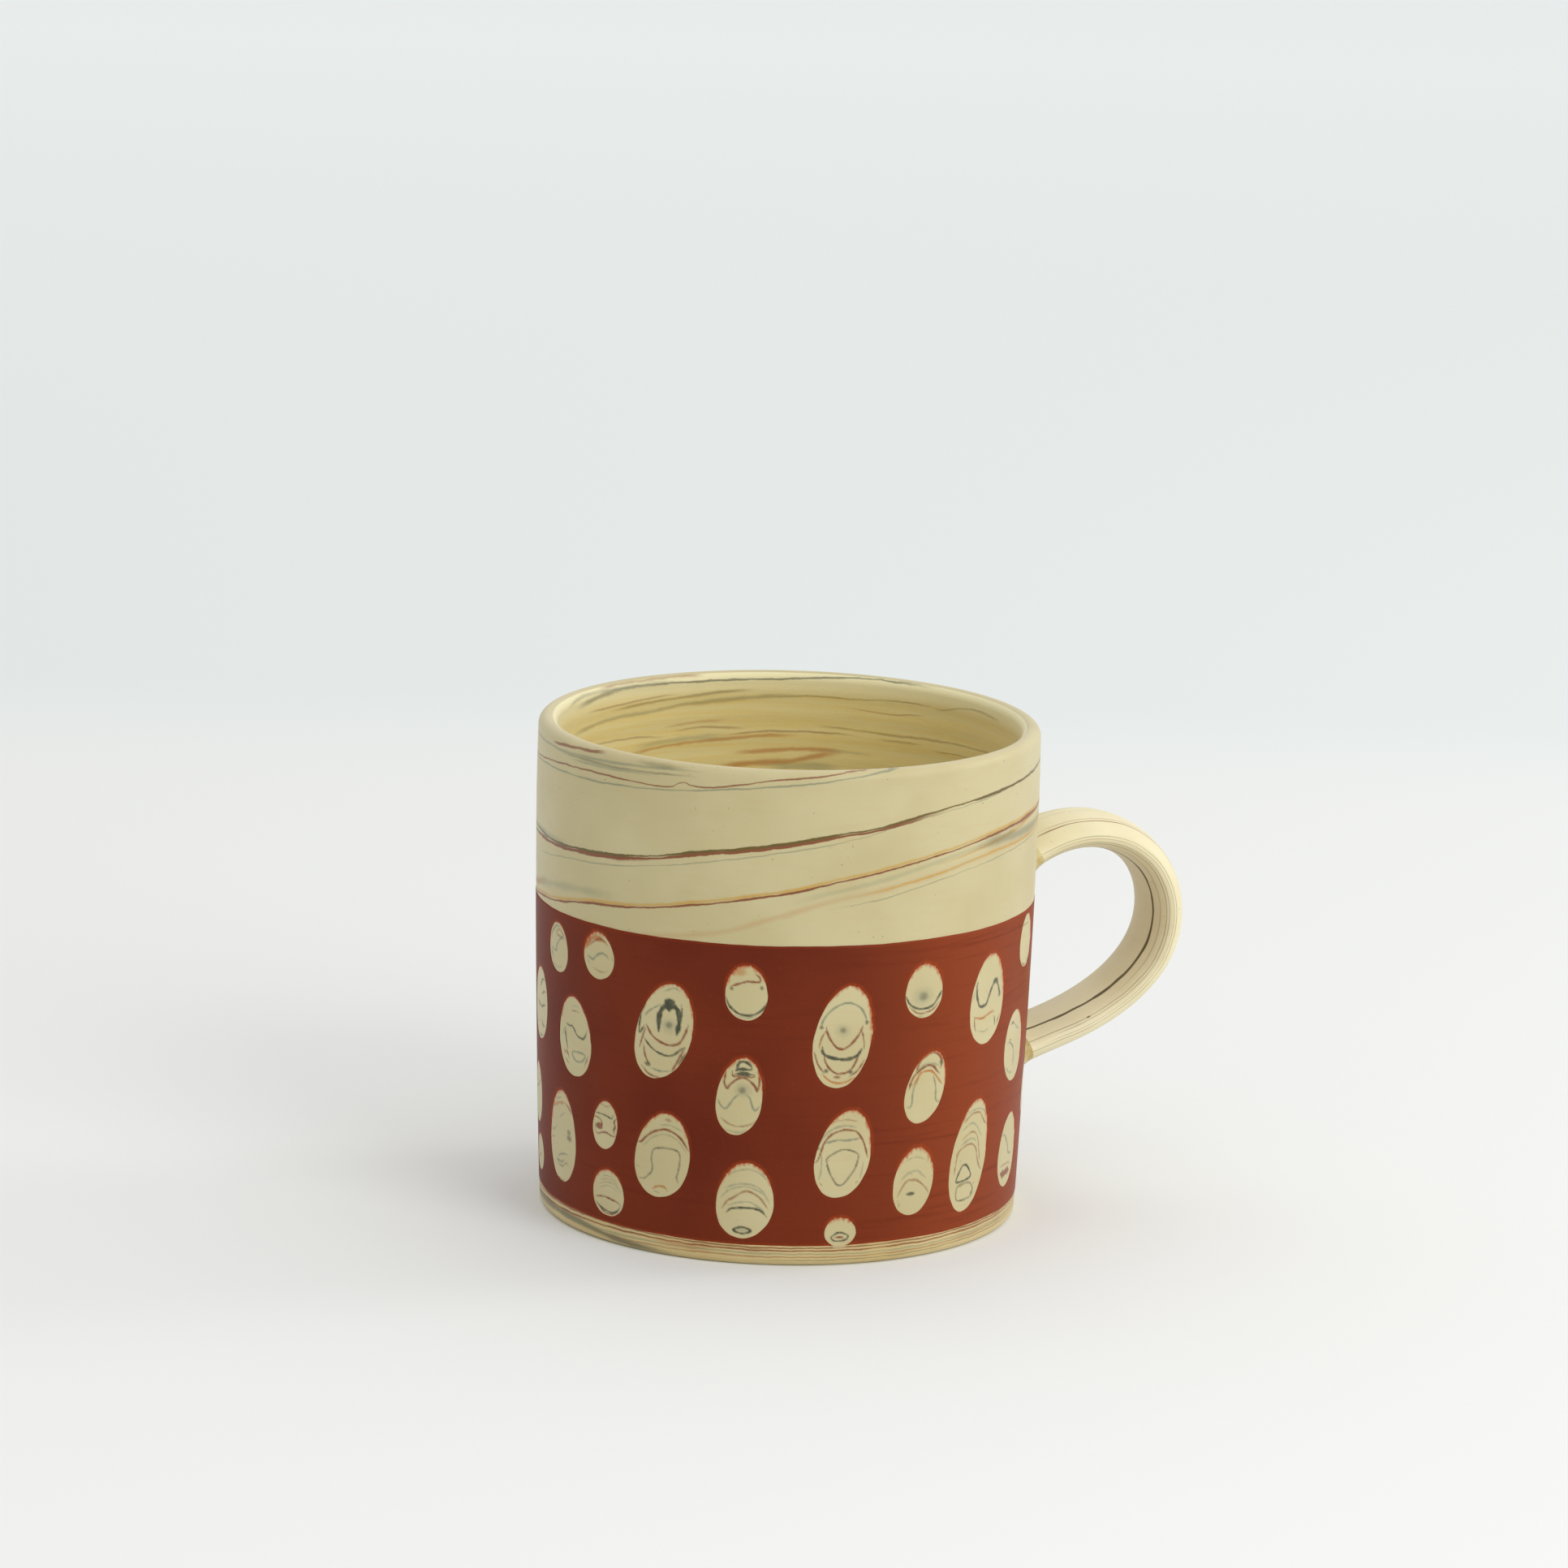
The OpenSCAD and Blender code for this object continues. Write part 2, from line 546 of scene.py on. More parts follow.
def turned_form() -> Form:
    """A form that turns a profile round the axis, with faint throwing rings.

    Returns:
        The tree; its inputs are Sides, Ring Depth and Ring Pitch.
    """
    form = Form("turned_form")
    sides = form.given("Sides", "Int")
    depth = form.given("Ring Depth")
    pitch = form.given("Ring Pitch")
    profile = form.start.outputs["Geometry"]
    size = form.add("GeometryNodeAttributeDomainSize")
    form.feed(size.inputs["Geometry"], profile)
    mesh, ring, share = form.lattice(size.outputs["Point Count"], sides)
    spot = form.add("GeometryNodeInputPosition").outputs[0]
    radius, _, height = form.split(form.pick(profile, spot, ring, "FLOAT_VECTOR"))
    inside = form.pick(profile, form.read("inside"), ring)
    turn = form.math("MULTIPLY", share, 2 * math.pi)
    spiral = form.math("ADD", form.math("DIVIDE", height, pitch), share)
    wave = form.math("SINE", form.math("MULTIPLY", spiral, 2 * math.pi))
    push = form.math("MULTIPLY", form.math("MULTIPLY", wave, depth), inside)
    out = form.math("ADD", radius, push)
    x = form.math("MULTIPLY", out, form.math("COSINE", turn))
    y = form.math("MULTIPLY", out, form.math("SINE", turn))
    form.close(form.weld(form.move(mesh, form.join(x, y, height))))
    return form


def wrapped_form(curve: WallCurve) -> Form:
    """A form that wraps a flat drawing round the wall.

    The drawing's x is the distance round the wall, its y the height and its z how far the
    surface stands out of the wall.

    Args:
        curve: The wall's curve.

    Returns:
        The tree.
    """
    form = Form("wrapped_form")
    spot = form.add("GeometryNodeInputPosition").outputs[0]
    arc, height, stand = form.split(spot)
    turn = form.math("DIVIDE", arc, curve.arc_radius * MM)
    radius = curve.radius_nodes(form, form.math("DIVIDE", height, MM))
    out = form.math("ADD", form.math("MULTIPLY", radius, MM), stand)
    back = form.math("MULTIPLY", out, -1.0)
    x = form.math("MULTIPLY", back, form.math("COSINE", turn))
    y = form.math("MULTIPLY", back, form.math("SINE", turn))
    form.close(form.weld(form.move(form.start.outputs["Geometry"], form.join(x, y, height))))
    return form


def swept_form(curve: WallCurve) -> Form:
    """A form that sweeps an oval section along a path in the plane of the handle.

    The path's points carry half_depth and half_width. Whatever would come out inside the mug is
    pressed flat in the middle of the wall.

    Args:
        curve: The wall's curve.

    Returns:
        The tree; its inputs are Sides, Inner Flat and Bury.
    """
    form = Form("swept_form")
    sides = form.given("Sides", "Int")
    flat = form.given("Inner Flat")
    bury = form.given("Bury")
    path = form.start.outputs["Geometry"]
    size = form.add("GeometryNodeAttributeDomainSize")
    form.feed(size.inputs["Geometry"], path)
    mesh, ring, share = form.lattice(size.outputs["Point Count"], sides)
    spot = form.add("GeometryNodeInputPosition").outputs[0]
    centre = form.pick(path, spot, ring, "FLOAT_VECTOR")
    heading = form.pick(path, form.read("heading", "FLOAT_VECTOR"), ring, "FLOAT_VECTOR")
    half_depth = form.pick(path, form.read("half_depth"), ring)
    half_width = form.pick(path, form.read("half_width"), ring)
    angle = form.math("MULTIPLY", share, -2 * math.pi)
    cosine = form.math("COSINE", angle)
    behind = form.math("LESS_THAN", cosine, 0.0)
    slim = form.math("SUBTRACT", 1.0, form.math("MULTIPLY", behind, flat))
    depth = form.math("MULTIPLY", form.math("MULTIPLY", half_depth, cosine), slim)
    width = form.math("MULTIPLY", half_width, form.math("SINE", angle))
    run_x, _, run_z = form.split(heading)
    x, _, z = form.split(centre)
    out_x = form.math("SUBTRACT", x, form.math("MULTIPLY", run_z, depth))
    out_z = form.math("ADD", z, form.math("MULTIPLY", run_x, depth))
    far = form.math(
        "SQRT", form.math("ADD", form.math("POWER", out_x, 2.0), form.math("POWER", width, 2.0))
    )
    wall = curve.radius_nodes(form, form.math("DIVIDE", out_z, MM))
    least = form.math("SUBTRACT", form.math("MULTIPLY", wall, MM), bury)
    press = form.math("MAXIMUM", form.math("DIVIDE", least, far), 1.0)
    place = form.join(
        form.math("MULTIPLY", out_x, press), form.math("MULTIPLY", width, press), out_z
    )
    kept = form.store(mesh, "along", form.pick(path, form.read("along"), ring))
    kept = form.store(kept, "round_way", form.math("MULTIPLY", share, 360.0))
    form.close(form.weld(form.move(kept, place)))
    return form


# ---------------------------------------------------------------------------------------------
# Veins and stains in the clay


class Pigment(Enum):
    """The oxide stains in the clay, faintest first, by the attribute that carries each."""

    GREY = "grey_stain"
    YELLOW = "yellow_stain"
    ORANGE = "orange_stain"
    RUST = "rust_stain"
    OLIVE = "olive_stain"
    GREEN = "green_stain"

    @property
    def colour(self) -> Colour:
        """The stain's own colour."""
        return {
            Pigment.GREY: tint("7f8468"),
            Pigment.YELLOW: tint("c2963a"),
            Pigment.ORANGE: tint("b06f28"),
            Pigment.RUST: tint("7d3d0f"),
            Pigment.OLIVE: tint("665319"),
            Pigment.GREEN: tint("393d24"),
        }[self]


@dataclass(frozen=True)
class Stroke:
    """One vein in a window, as a smooth line through a few points from the window's centre."""

    pigment: Pigment
    width: float
    points: tuple[Point, ...]
    strength: float = 0.85
    closed: bool = False

    def line(self) -> tuple[Array, Array]:
        """The smooth line and how far along it each of its points is.

        Returns:
            Points about 0.1 mm apart, and their distance from the start.
        """
        knots = np.array(self.points, float)
        if self.closed:
            knots = np.vstack([knots[-1:], knots, knots[:2]])
        else:
            knots = np.vstack([2 * knots[0] - knots[1], knots, 2 * knots[-1] - knots[-2]])
        runs = []
        for a, b, c, d in zip(knots, knots[1:], knots[2:], knots[3:]):
            count = max(2, int(np.hypot(*(c - b)) / 0.1))
            s = np.linspace(0, 1, count, endpoint=False)[:, None]
            runs.append(
                0.5
                * (
                    2 * b
                    + (c - a) * s
                    + (2 * a - 5 * b + 4 * c - d) * s**2
                    + (3 * b - a - 3 * c + d) * s**3
                )
            )
        points = np.vstack(runs)
        steps = np.hypot(*np.diff(points, axis=0).T)
        return points, np.concatenate([[0.0], np.cumsum(steps)])

    def mask(self, spots: Array, seed: int) -> Array:
        """How strongly the vein stains each spot.

        Args:
            spots: Places from the window's centre.
            seed: Which wobble its edges have.

        Returns:
            A strength from 0 to 1 for each spot.
        """
        points, along = self.line()
        gap = spots[:, None, :] - points[None, :, :]
        nearest = np.einsum("ijk,ijk->ij", gap, gap)
        index = nearest.argmin(axis=1)
        reach = np.sqrt(nearest[np.arange(len(spots)), index])
        here = along[index]
        half = self.width / 2 * (1 + 0.3 * wander(here, seed, 3.1))
        if not self.closed:
            half = half * (0.35 + 0.65 * smoothstep(0, 1.1, np.minimum(here, along[-1] - here)))
        fade = self.strength * (1.15 + 0.18 * wander(here, seed + 1, 4.3))
        soft = 0.11 + 0.16 * self.width
        return np.clip(fade, 0, 1) * (1 - smoothstep(0, 1, (reach - half + soft / 2) / soft))


@dataclass(frozen=True)
class Spot:
    """One soft blot in a window."""

    pigment: Pigment
    centre: Point
    size: Point
    strength: float = 0.8
    edge: float = 0.5

    def mask(self, spots: Array, seed: int) -> Array:
        """How strongly the blot stains each spot.

        Args:
            spots: Places from the window's centre.
            seed: Which wobble its edge has.

        Returns:
            A strength from 0 to 1 for each spot.
        """
        away = (spots - np.array(self.centre)) / np.array(self.size)
        reach = np.hypot(away[:, 0], away[:, 1])
        angle = np.arctan2(away[:, 1], away[:, 0])
        reach = reach * (1 + 0.12 * wander(angle / (2 * math.pi), seed, 1.0))
        return self.strength * (1 - smoothstep(1 - self.edge, 1 + self.edge, reach))


def vein(pigment: Pigment, width: float, *points: Point, **more: float) -> Stroke:
    """One vein through these points."""
    return Stroke(pigment, width, points, **more)


def faint(pigment: Pigment, width: float, *points: Point) -> Stroke:
    """One vein at half strength."""
    return Stroke(pigment, width, points, 0.5)


def ring_vein(pigment: Pigment, width: float, *points: Point, **more: float) -> Stroke:
    """One vein that closes on itself."""
    return Stroke(pigment, width, points, closed=True, **more)


def halo(centre: Point, size: float) -> tuple[Spot, Spot]:
    """A grey dot with a soft halo round it."""
    wide = (size * 2.4, size * 2.0)
    return (
        Spot(Pigment.GREY, centre, wide, 0.35, 0.6),
        Spot(Pigment.GREEN, centre, (size, size * 0.9), 0.55, 0.6),
    )


@dataclass(frozen=True)
class Window:
    """An egg-shaped window through the slip, with the marks that show in it.

    Its turn and height are where its marks are measured from; middle is where its egg's centre
    is from there.
    """

    turn: float
    height: float
    width: float
    tall: float
    lean: float = 0.0
    middle: Point = (0.0, 0.0)
    marks: tuple[Stroke | Spot, ...] = ()
    fringe: float = 0.5
    fringe_from: float = 70.0
    mirror: bool = False

    EGG_BIAS: ClassVar[float] = 0.08

    def outline(self, seed: int, grow: float = 0.0, step: float = 0.3) -> Array:
        """The window's edge, crisp below and ragged above.

        Args:
            seed: Which raggedness.
            grow: How much wider it is on every side.
            step: The distance between its points.

        Returns:
            Points from the window's own centre, anticlockwise.
        """
        count = int(math.pi * (self.width + self.tall) / 2 / step)
        angle = np.linspace(0, 2 * math.pi, count, endpoint=False)
        sine, cosine = np.sin(angle), np.cos(angle)
        x = (self.width / 2 + grow) * cosine * (1 - self.EGG_BIAS * sine)
        y = (self.tall / 2 + grow) * sine
        facing = np.cos(angle - math.radians(self.fringe_from))
        rough = smoothstep(0.2, 0.9, facing) * self.fringe
        round_way = angle / (2 * math.pi) * (self.width + self.tall)
        push = 0.09 * wander(round_way, seed, 9.0)
        tear = wander(round_way, seed + 7, 2.9) * wander(round_way, seed + 8, 1.1)
        push = push + rough * 0.3 * tear
        x = x + self.lean * y + push * cosine + self.middle[0]
        y = y + push * sine + self.middle[1]
        return np.column_stack([x, y])


@dataclass(frozen=True)
class Pattern:
    """The windows of the band: those of the near side with their marks, and the far side."""

    near: tuple[Window, ...]
    far_starts: tuple[float, ...] = (-184.0, -144.0, -102.0, -60.0)
    far_group: tuple[tuple[float, float, float, float, float], ...] = (
        (0, 47.5, 10, 15, 0.1),
        (0, 11.5, 9, 11, 0.05),
        (20, 51.5, 7.5, 9, 0),
        (20, 35, 9.5, 15.5, 0.12),
        (20, 15.5, 10.5, 17, 0.15),
    )
    root: Window = Window(-180, 27, 24.5, 16.5)

    def windows(self) -> list[Window]:
        """Every window of the band; the far side borrows marks from the near side."""
        lenders = [w for w in self.near if len(w.marks) > 5]
        far = []
        for start in self.far_starts:
            for shift, height, width, tall, lean in self.far_group:
                lender = lenders[(7 * len(far) + 3) % len(lenders)]
                far.append(
                    Window(
                        start + shift, height, width, tall, lean, marks=lender.marks, mirror=True
                    )
                )
        return [*self.near, *far, self.root]


GREY, YELLOW, ORANGE, RUST, OLIVE, GREEN = Pigment

NEAR_WINDOWS = (
    Window(7, 51.5, 7.7, 9, -0.03, (-0.35, -0.1), (
        vein(GREY, 0.4, (-3.3, 1), (-3.1, 2), (-2.3, 2.8), (-1, 3.7), (0.5, 3.8)),
        ring_vein(RUST, 0.28, (-0.9, 2.7), (0.3, 3.3), (1.3, 2.8), (1.9, 2.4), (1.2, 2.1), (-0.6, 2.1),
                  strength=0.6),
        vein(GREY, 0.4, (2, 1.7), (1.2, 1.9), (0.3, 1.4), (-0.9, 0.2), (-1, -0.6), (-1.4, -1),
             (-3, -0.5)),
        vein(GREY, 0.5, (-3.1, -0.8), (-3, -1.6), (-2.2, -2.7)),
        faint(GREY, 0.3, (-2.5, -3.4), (-0.5, -3.8), (1.3, -3.3)),
    ), 0.3, 110),
    Window(24, 52.5, 7.9, 8.7, 0, (-0.55, 0.15), (
        vein(ORANGE, 0.9, (-3.9, 0.9), (-3.2, 2.3), (-1.8, 3.2), (0, 3.2), (1.2, 2.9)),
        vein(RUST, 0.3, (-3, 1.6), (-1.8, 2.5), (0, 3.3), (1.3, 2.8), (1.8, 2.3)),
        vein(GREY, 0.4, (-3.6, -0.4), (-2.9, -0.6), (-2, -0.8), (-1.3, -0.2), (-0.5, 0.4), (0.5, 0.7),
             (1.5, 0.5), (2.2, -0.1)),
        vein(GREY, 0.4, (-3.5, -0.9), (-2.9, -1.8), strength=0.7),
        vein(GREEN, 0.3, (2.8, 0.5), (3.1, -0.4), strength=0.6),
        vein(RUST, 0.25, (-2.3, -2.2), (-0.8, -2.6), (0.5, -2.7), (2, -2.3), strength=0.4),
    ), 1.0, 120),
    Window(-5, 39, 10, 13.6, 0.08, (-1.5, -0.3), (
        vein(GREEN, 0.6, (-1.4, 2.7), (-0.7, 3.5), (0.3, 4.3), (1.5, 4.5), strength=0.7),
        vein(RUST, 0.4, (-0.5, 1.4), (0.5, 1.9), (1.5, 2.3), (2.5, 2.4)),
        vein(GREEN, 0.4, (-4, -0.3), (-0.8, -0.9), (0.3, -0.6), (1.2, -0.3), (2.3, 0)),
        vein(GREEN, 0.4, (-0.5, -2.8), (-0.3, -3.8), (0.7, -4.2), (1.8, -4.1)),
        vein(RUST, 0.35, (-4, -4.3), (-2.5, -3.9)),
        vein(GREEN, 0.35, (-3, -6.2), (-1.5, -6.4), (0.5, -6), strength=0.6),
    ), 0.4, 110),
    Window(15, 36.5, 10.5, 14.6, -0.03, (-0.75, -0.3), (
        vein(RUST, 0.25, (-1.6, 4.3), (-0.5, 4.5), (0.5, 4.55), (1.2, 4.4)),
        vein(GREY, 0.3, (-1.5, 5), (0, 5.5), (1.5, 5.1), strength=0.4),
        vein(GREEN, 0.6, (-4.4, 5.1), (-5, 3.8), (-4.9, 2.6), strength=0.6),
        vein(GREEN, 0.35, (-3.5, 1.6), (-2, 1.4), (-1.6, 1.6), (-0.8, 1.2), (0.2, 0.2), (1.3, -0.1),
             (2.2, -0.1), (2.8, 0.5), (3.5, 1.8)),
        vein(GREEN, 0.45, (-3.7, 0.8), (-3.8, 0), (-3.5, -1.2), (-3, -3)),
        vein(GREY, 0.3, (-4.2, 0.6), (-4.7, -0.4), (-5, -1)),
        vein(RUST, 0.5, (-3.4, -3.3), (-2.8, -4), (-2.6, -4.6)),
        vein(RUST, 0.5, (-3.6, -4.9), (-3.1, -5.3), (-2.6, -5.7)),
        Spot(ORANGE, (-3.9, -3.7), (0.5, 0.35), 0.7),
        ring_vein(GREY, 0.35, (-0.3, -3), (-1.2, -3.2), (-1.3, -3.7), (-0.5, -4.5), (0.6, -4.7),
                  (2, -4.2), (2.8, -3.1), (1.5, -2.9)),
        vein(RUST, 0.3, (3.6, -3), (3.2, -4), (2.8, -4.6), (2.5, -5.5), strength=0.7),
    ), 0.3, 90),
    Window(43, 41.5, 11.3, 17.8, 0.21, (-0.55, -0.1), (
        vein(GREY, 0.35, (-0.5, 7.2), (1.5, 8), (2.8, 7.5), strength=0.6),
        vein(GREEN, 0.95, (-1.5, -0.2), (-1.4, 2.5), (-0.6, 4.2), (1, 4.9), (2.3, 4.0), (2.6, 2),
             (2.1, -0.5), strength=1),
        vein(GREEN, 2.2, (-0.7, 4.3), (0.3, 4.7), (1, 4.8), (1.9, 4.4), strength=1),
        vein(GREEN, 0.3, (-1.2, 4.6), (-0.9, 3)),
        vein(GREEN, 0.3, (3, 5.2), (3.1, 3.6), (2.8, 2)),
        vein(GREY, 0.3, (-1.2, 4.7), (-3.5, 3.2), (-4.5, 2)),
        *halo((0.6, 1.1), 0.6),
        vein(RUST, 0.4, (-4.1, 0.7), (-3, -1), (-1.5, -2), (0.5, -2.5), (2.5, -2), (3.7, -0.2),
             (4.4, 1.7)),
        vein(GREEN, 0.35, (-4.2, 4.5), (-5.2, 2.5), (-5.6, -1), (-4.3, 0.6)),
        vein(RUST, 0.3, (-4.1, 0.3), (-4.8, -1.5), (-5.6, -4)),
        vein(GREEN, 0.35, (-4.6, -1.8), (-3.5, -3), (-2, -4), (0, -4.5), (1.5, -4.2), (3, -3),
             (3.9, -2.5)),
        vein(RUST, 0.35, (-4.6, -3), (-4.3, -5), (-3.2, -7)),
        Spot(GREEN, (-3.8, -6.5), (0.6, 0.4)),
        vein(RUST, 0.4, (1.2, -7.3), (2.5, -5), (3.8, -2.5)),
        vein(GREEN, 0.35, (2.4, -6), (4, -3.5)),
        vein(GREY, 0.3, (-3, -7.2), (-1, -7.5), (1, -7.2)),
        vein(RUST, 0.3, (-5, -7), (-3.5, -8.3), (-1, -8.8), (1, -8.6), (3, -7), (4.5, -4.5)),
    ), 0.5, 60),
    Window(62, 50, 7.7, 9.9, 0, (-0.05, -0.05), (
        Spot(ORANGE, (-1.3, 3.7), (1.1, 0.7), 0.6),
        vein(RUST, 0.4, (-2.8, 1), (-1.5, 1.5), (0, 2), (1.5, 2), (2.3, 2.1), (2.3, 2.8), (1.5, 3.5)),
        Spot(GREEN, (-2.7, 0.6), (0.35, 0.3), 0.7),
        Spot(GREEN, (2.7, 1), (0.3, 0.35), 0.7),
        vein(GREEN, 0.4, (-3.7, -1), (-3, -2.6), (-1.5, -3.8), (0, -4.1), (1.5, -3.9), (3, -2.8),
             (3.7, -1.5)),
        faint(GREY, 0.25, (-2.3, -4.2), (0, -4.6), (2, -4.2)),
    ), 0.8, 100),
    Window(61, 31.5, 8.3, 14.3, 0.1, (-0.1, -0.5), (
        vein(GREEN, 0.5, (-0.8, 4.3), (-0.2, 5.7), (0.8, 5.9), (1.8, 5.3), (2.1, 4.5)),
        vein(GREEN, 0.7, (-0.8, 4.2), (0, 4.5), (2, 4.5)),
        vein(RUST, 0.3, (-1.5, 4.2), (-1.3, 3.2), (0, 3.3), (2.3, 3.2), (2.7, 4.1)),
        vein(GREEN, 0.7, (-1, 3.5), (0, 3.7), (2.4, 3.6)),
        vein(RUST, 0.4, (-2.6, 4), (-2.9, 2), (-2.4, 0.9), (-1.8, 1.6), (-0.5, 2.7), (0.5, 3), (1.5, 2.6),
             (2.6, 1.6), (3.1, 0.7), (3.5, 2.5), (3.4, 4)),
        *halo((0.4, 0.7), 0.6),
        vein(GREY, 0.35, (-4, -1.2), (-3.5, -2.3), (-2.5, -2.8), (-1, -0.8), (0, 0)),
        vein(GREY, 0.35, (1, 0), (1.8, -0.7), (2.2, -2), (2.8, -2.9), (3.8, -1.8)),
        faint(RUST, 0.3, (-3.5, -4.5), (-2, -5.6), (0, -6), (2, -5.5), (3, -4.8)),
        faint(GREY, 0.3, (-2.5, -6.8), (0, -7.1), (1.5, -6.4)),
    ), 0.6, 70),
    Window(84, 42.5, 10.6, 18.6, 0.12, (0.2, -0.3), (
        vein(GREY, 0.35, (-3.9, 1.5), (-3.6, 2.8), (-2.5, 4.3), (-1, 5.4), (1, 5.9), (3, 5), (4, 3.5),
             (4.5, 2)),
        Spot(GREEN, (-3.9, 1.5), (0.35, 0.3), 0.8),
        Spot(GREEN, (4.4, 2.2), (0.3, 0.4), 0.8),
        *halo((0.1, 0.9), 0.5),
        vein(RUST, 0.4, (-3, 1.6), (-2.7, 0.3), (-2, -1), (-1, -2.2), (0.1, -2.5), (1.2, -2), (2.3, -0.9),
             (3.2, 0.4), (3.7, 1.7)),
        vein(RUST, 0.25, (-3, 1), (-3.8, -0.5), (-4.3, -2.7)),
        vein(RUST, 0.25, (3.5, 0.9), (3.9, -0.8), (4.1, -2.8)),
        vein(GREEN, 0.6, (-3.6, -2), (-3.4, -3.2), (-2, -4), (0, -4.4), (1.5, -4.3), (2.9, -3.7),
             (3.7, -2.5)),
        vein(RUST, 0.35, (-3.3, -3.3), (-3, -4.7), (-2.2, -6), (-1, -6.9), (0, -7), (1, -6.8), (2, -6),
             (2.8, -4.4), (3.1, -3)),
        Spot(GREEN, (-2.8, -6.4), (0.4, 0.35)),
        Spot(GREEN, (1.7, -6.8), (0.4, 0.35)),
        vein(RUST, 0.3, (-5, -3), (-4.3, -5.2), (-3, -7)),
        vein(RUST, 0.3, (1.5, -7.6), (3, -6.5), (4.3, -4.5)),
        Spot(RUST, (-0.8, -7.6), (0.6, 0.25)),
        vein(ORANGE, 0.35, (-3.5, -7), (-2, -8.3), (-0.5, -8.7), (1, -8.5), (2.5, -7.7)),
    ), 0.8, 50),
    Window(104, 49.5, 8, 9.8, 0, (0, 0), (
        *halo((-0.2, -1.1), 0.8),
        vein(GREEN, 0.4, (-3.9, -0.7), (-3, -2.2), (-1.5, -3.1), (0.3, -3.3), (2, -2.8), (3.3, -1.2),
             (4, -0.2)),
        vein(RUST, 0.25, (-3, -2.8), (-1.5, -3.9), (0, -4.1), (2, -3.6), (3.5, -2.2)),
        faint(GREY, 0.25, (-1.8, -4.6), (0.5, -4.7)),
    ), 1.0, 80),
    Window(106, 31.5, 8.5, 13.1, 0.2, (-0.25, 0.15), (
        vein(RUST, 0.4, (-2.6, 3.1), (-1.8, 5), (-0.5, 6), (0.7, 6.4), (2, 6), (2.9, 5), (3.1, 4),
             (2.6, 3.1)),
        Spot(GREEN, (2.9, 4.4), (0.4, 0.5), 0.7),
        faint(GREY, 0.5, (-2.2, 3.6), (-0.5, 4.3), (1, 4.3), (2.5, 3.8)),
        vein(RUST, 0.4, (-4, 0), (-3.3, 2), (-2, 3.3), (-0.5, 4), (0.3, 4.1), (1.3, 3.7), (2, 2.9),
             (2.8, 2.2)),
        vein(ORANGE, 0.4, (-3.3, 0.6), (-2.3, 1.8), (-1.5, 2.9), (0.3, 3.1), (1.3, 2.6), (2.2, 1.6),
             (3.4, 0.2)),
        vein(GREY, 0.35, (-2, 2), (-3, 0), (-3.2, -2.5), (-3.7, -3.3), (-4.3, -3)),
        vein(GREY, 0.35, (1.3, 2), (1.9, 0), (2, -2), (2.5, -2.9), (3.4, -2.7)),
    ), 0.6, 60),
    Window(125, 45.5, 10.4, 16.5, 0.07, (0, 0), (
        vein(GREEN, 0.5, (-3.5, 3.6), (-3.7, 2.8), (-3.5, 1), (-3, -0.4), (-2.5, -1), (-1.5, -1.1),
             (-0.6, -0.8), (0, 0.3), (1, 2), (2.1, 3.2), (2.8, 2.4), (3.4, 1.2), (3.8, 0)),
        Spot(GREEN, (2.1, 2.9), (0.8, 0.5), 0.8),
        Spot(GREEN, (3.7, 0.2), (0.4, 0.5), 0.7),
        faint(GREY, 0.35, (-4.3, 2), (-4.7, 0)),
        vein(ORANGE, 0.4, (-4.2, -2.7), (-3, -3.1), (-1.5, -3.3), (0, -2.9), (1.5, -2.6), (2.2, -2.8)),
        vein(GREEN, 0.35, (2.4, -3.5), (2.5, -5), (2.6, -5.6)),
        vein(RUST, 0.3, (-3.9, -3), (-3.8, -4.5), (-3.3, -5.6)),
        vein(RUST, 0.3, (4.2, -3.5), (3, -5.3)),
        faint(GREY, 0.3, (-2.8, -5.4), (-1.5, -5.8), (-0.3, -5.8), (0.8, -5.3)),
    ), 1.0, 50),
    Window(146, 53, 8, 9.8, 0, (-0.6, 0.1), (
        vein(GREY, 0.3, (-3.8, 3.2), (-1.5, 3.2), (0.5, 3.1)),
        vein(GREY, 0.25, (-2, 4.2), (-0.5, 4), strength=0.6),
        vein(GREEN, 0.3, (-2.8, -3.7), (-1.5, -4.4), (0, -4.3)),
        Spot(GREY, (1.5, -4), (1.2, 0.6), 0.5),
    ), 1.0, 30),
    Window(140, 34.5, 9.4, 13.2, 0, (0.1, 0), (
        vein(GREEN, 0.5, (-2.2, 4.2), (-1.2, 4.4), (-0.3, 4), strength=0.7),
        vein(GREY, 0.5, (-0.3, 4), (1, 3.2), (2.5, 2.5), strength=0.6),
        vein(RUST, 0.3, (-2.7, 1.5), (-2, 1.4), (-1.3, 1.1)),
        vein(GREY, 0.4, (-3.2, 0.8), (-2.4, 1), (-1, 0.2), (-0.2, -0.7), (0.1, -2), (0.1, -4)),
        vein(GREY, 0.4, (-3.3, -3.5), (-2.2, -4.5), (-1, -4.9), (0, -4.9), strength=0.6),
    ), 1.0, 20),
    Window(9, 17, 10.3, 17.1, 0.02, (-0.85, -0.35), (
        vein(ORANGE, 0.6, (-4.8, 4.6), (-3.4, 5), (-2, 5.6), (-0.5, 5.9), (0.5, 6.1), strength=0.6),
        vein(RUST, 0.4, (0.5, 6.1), (1.5, 5.7), (2.5, 5), (2.9, 4.2), strength=0.7),
        vein(GREY, 0.4, (-3.4, 6), (-2.5, 6.3), (-1, 6.9), strength=0.6),
        faint(GREY, 0.35, (-1.8, 2.8), (-0.5, 3.8), (0.8, 4.3)),
        vein(GREY, 0.35, (-5.4, 0), (-4, 0.3), (-2.8, 1.3), strength=0.6),
        Spot(GREEN, (1.9, 0.9), (0.6, 0.5), 0.6),
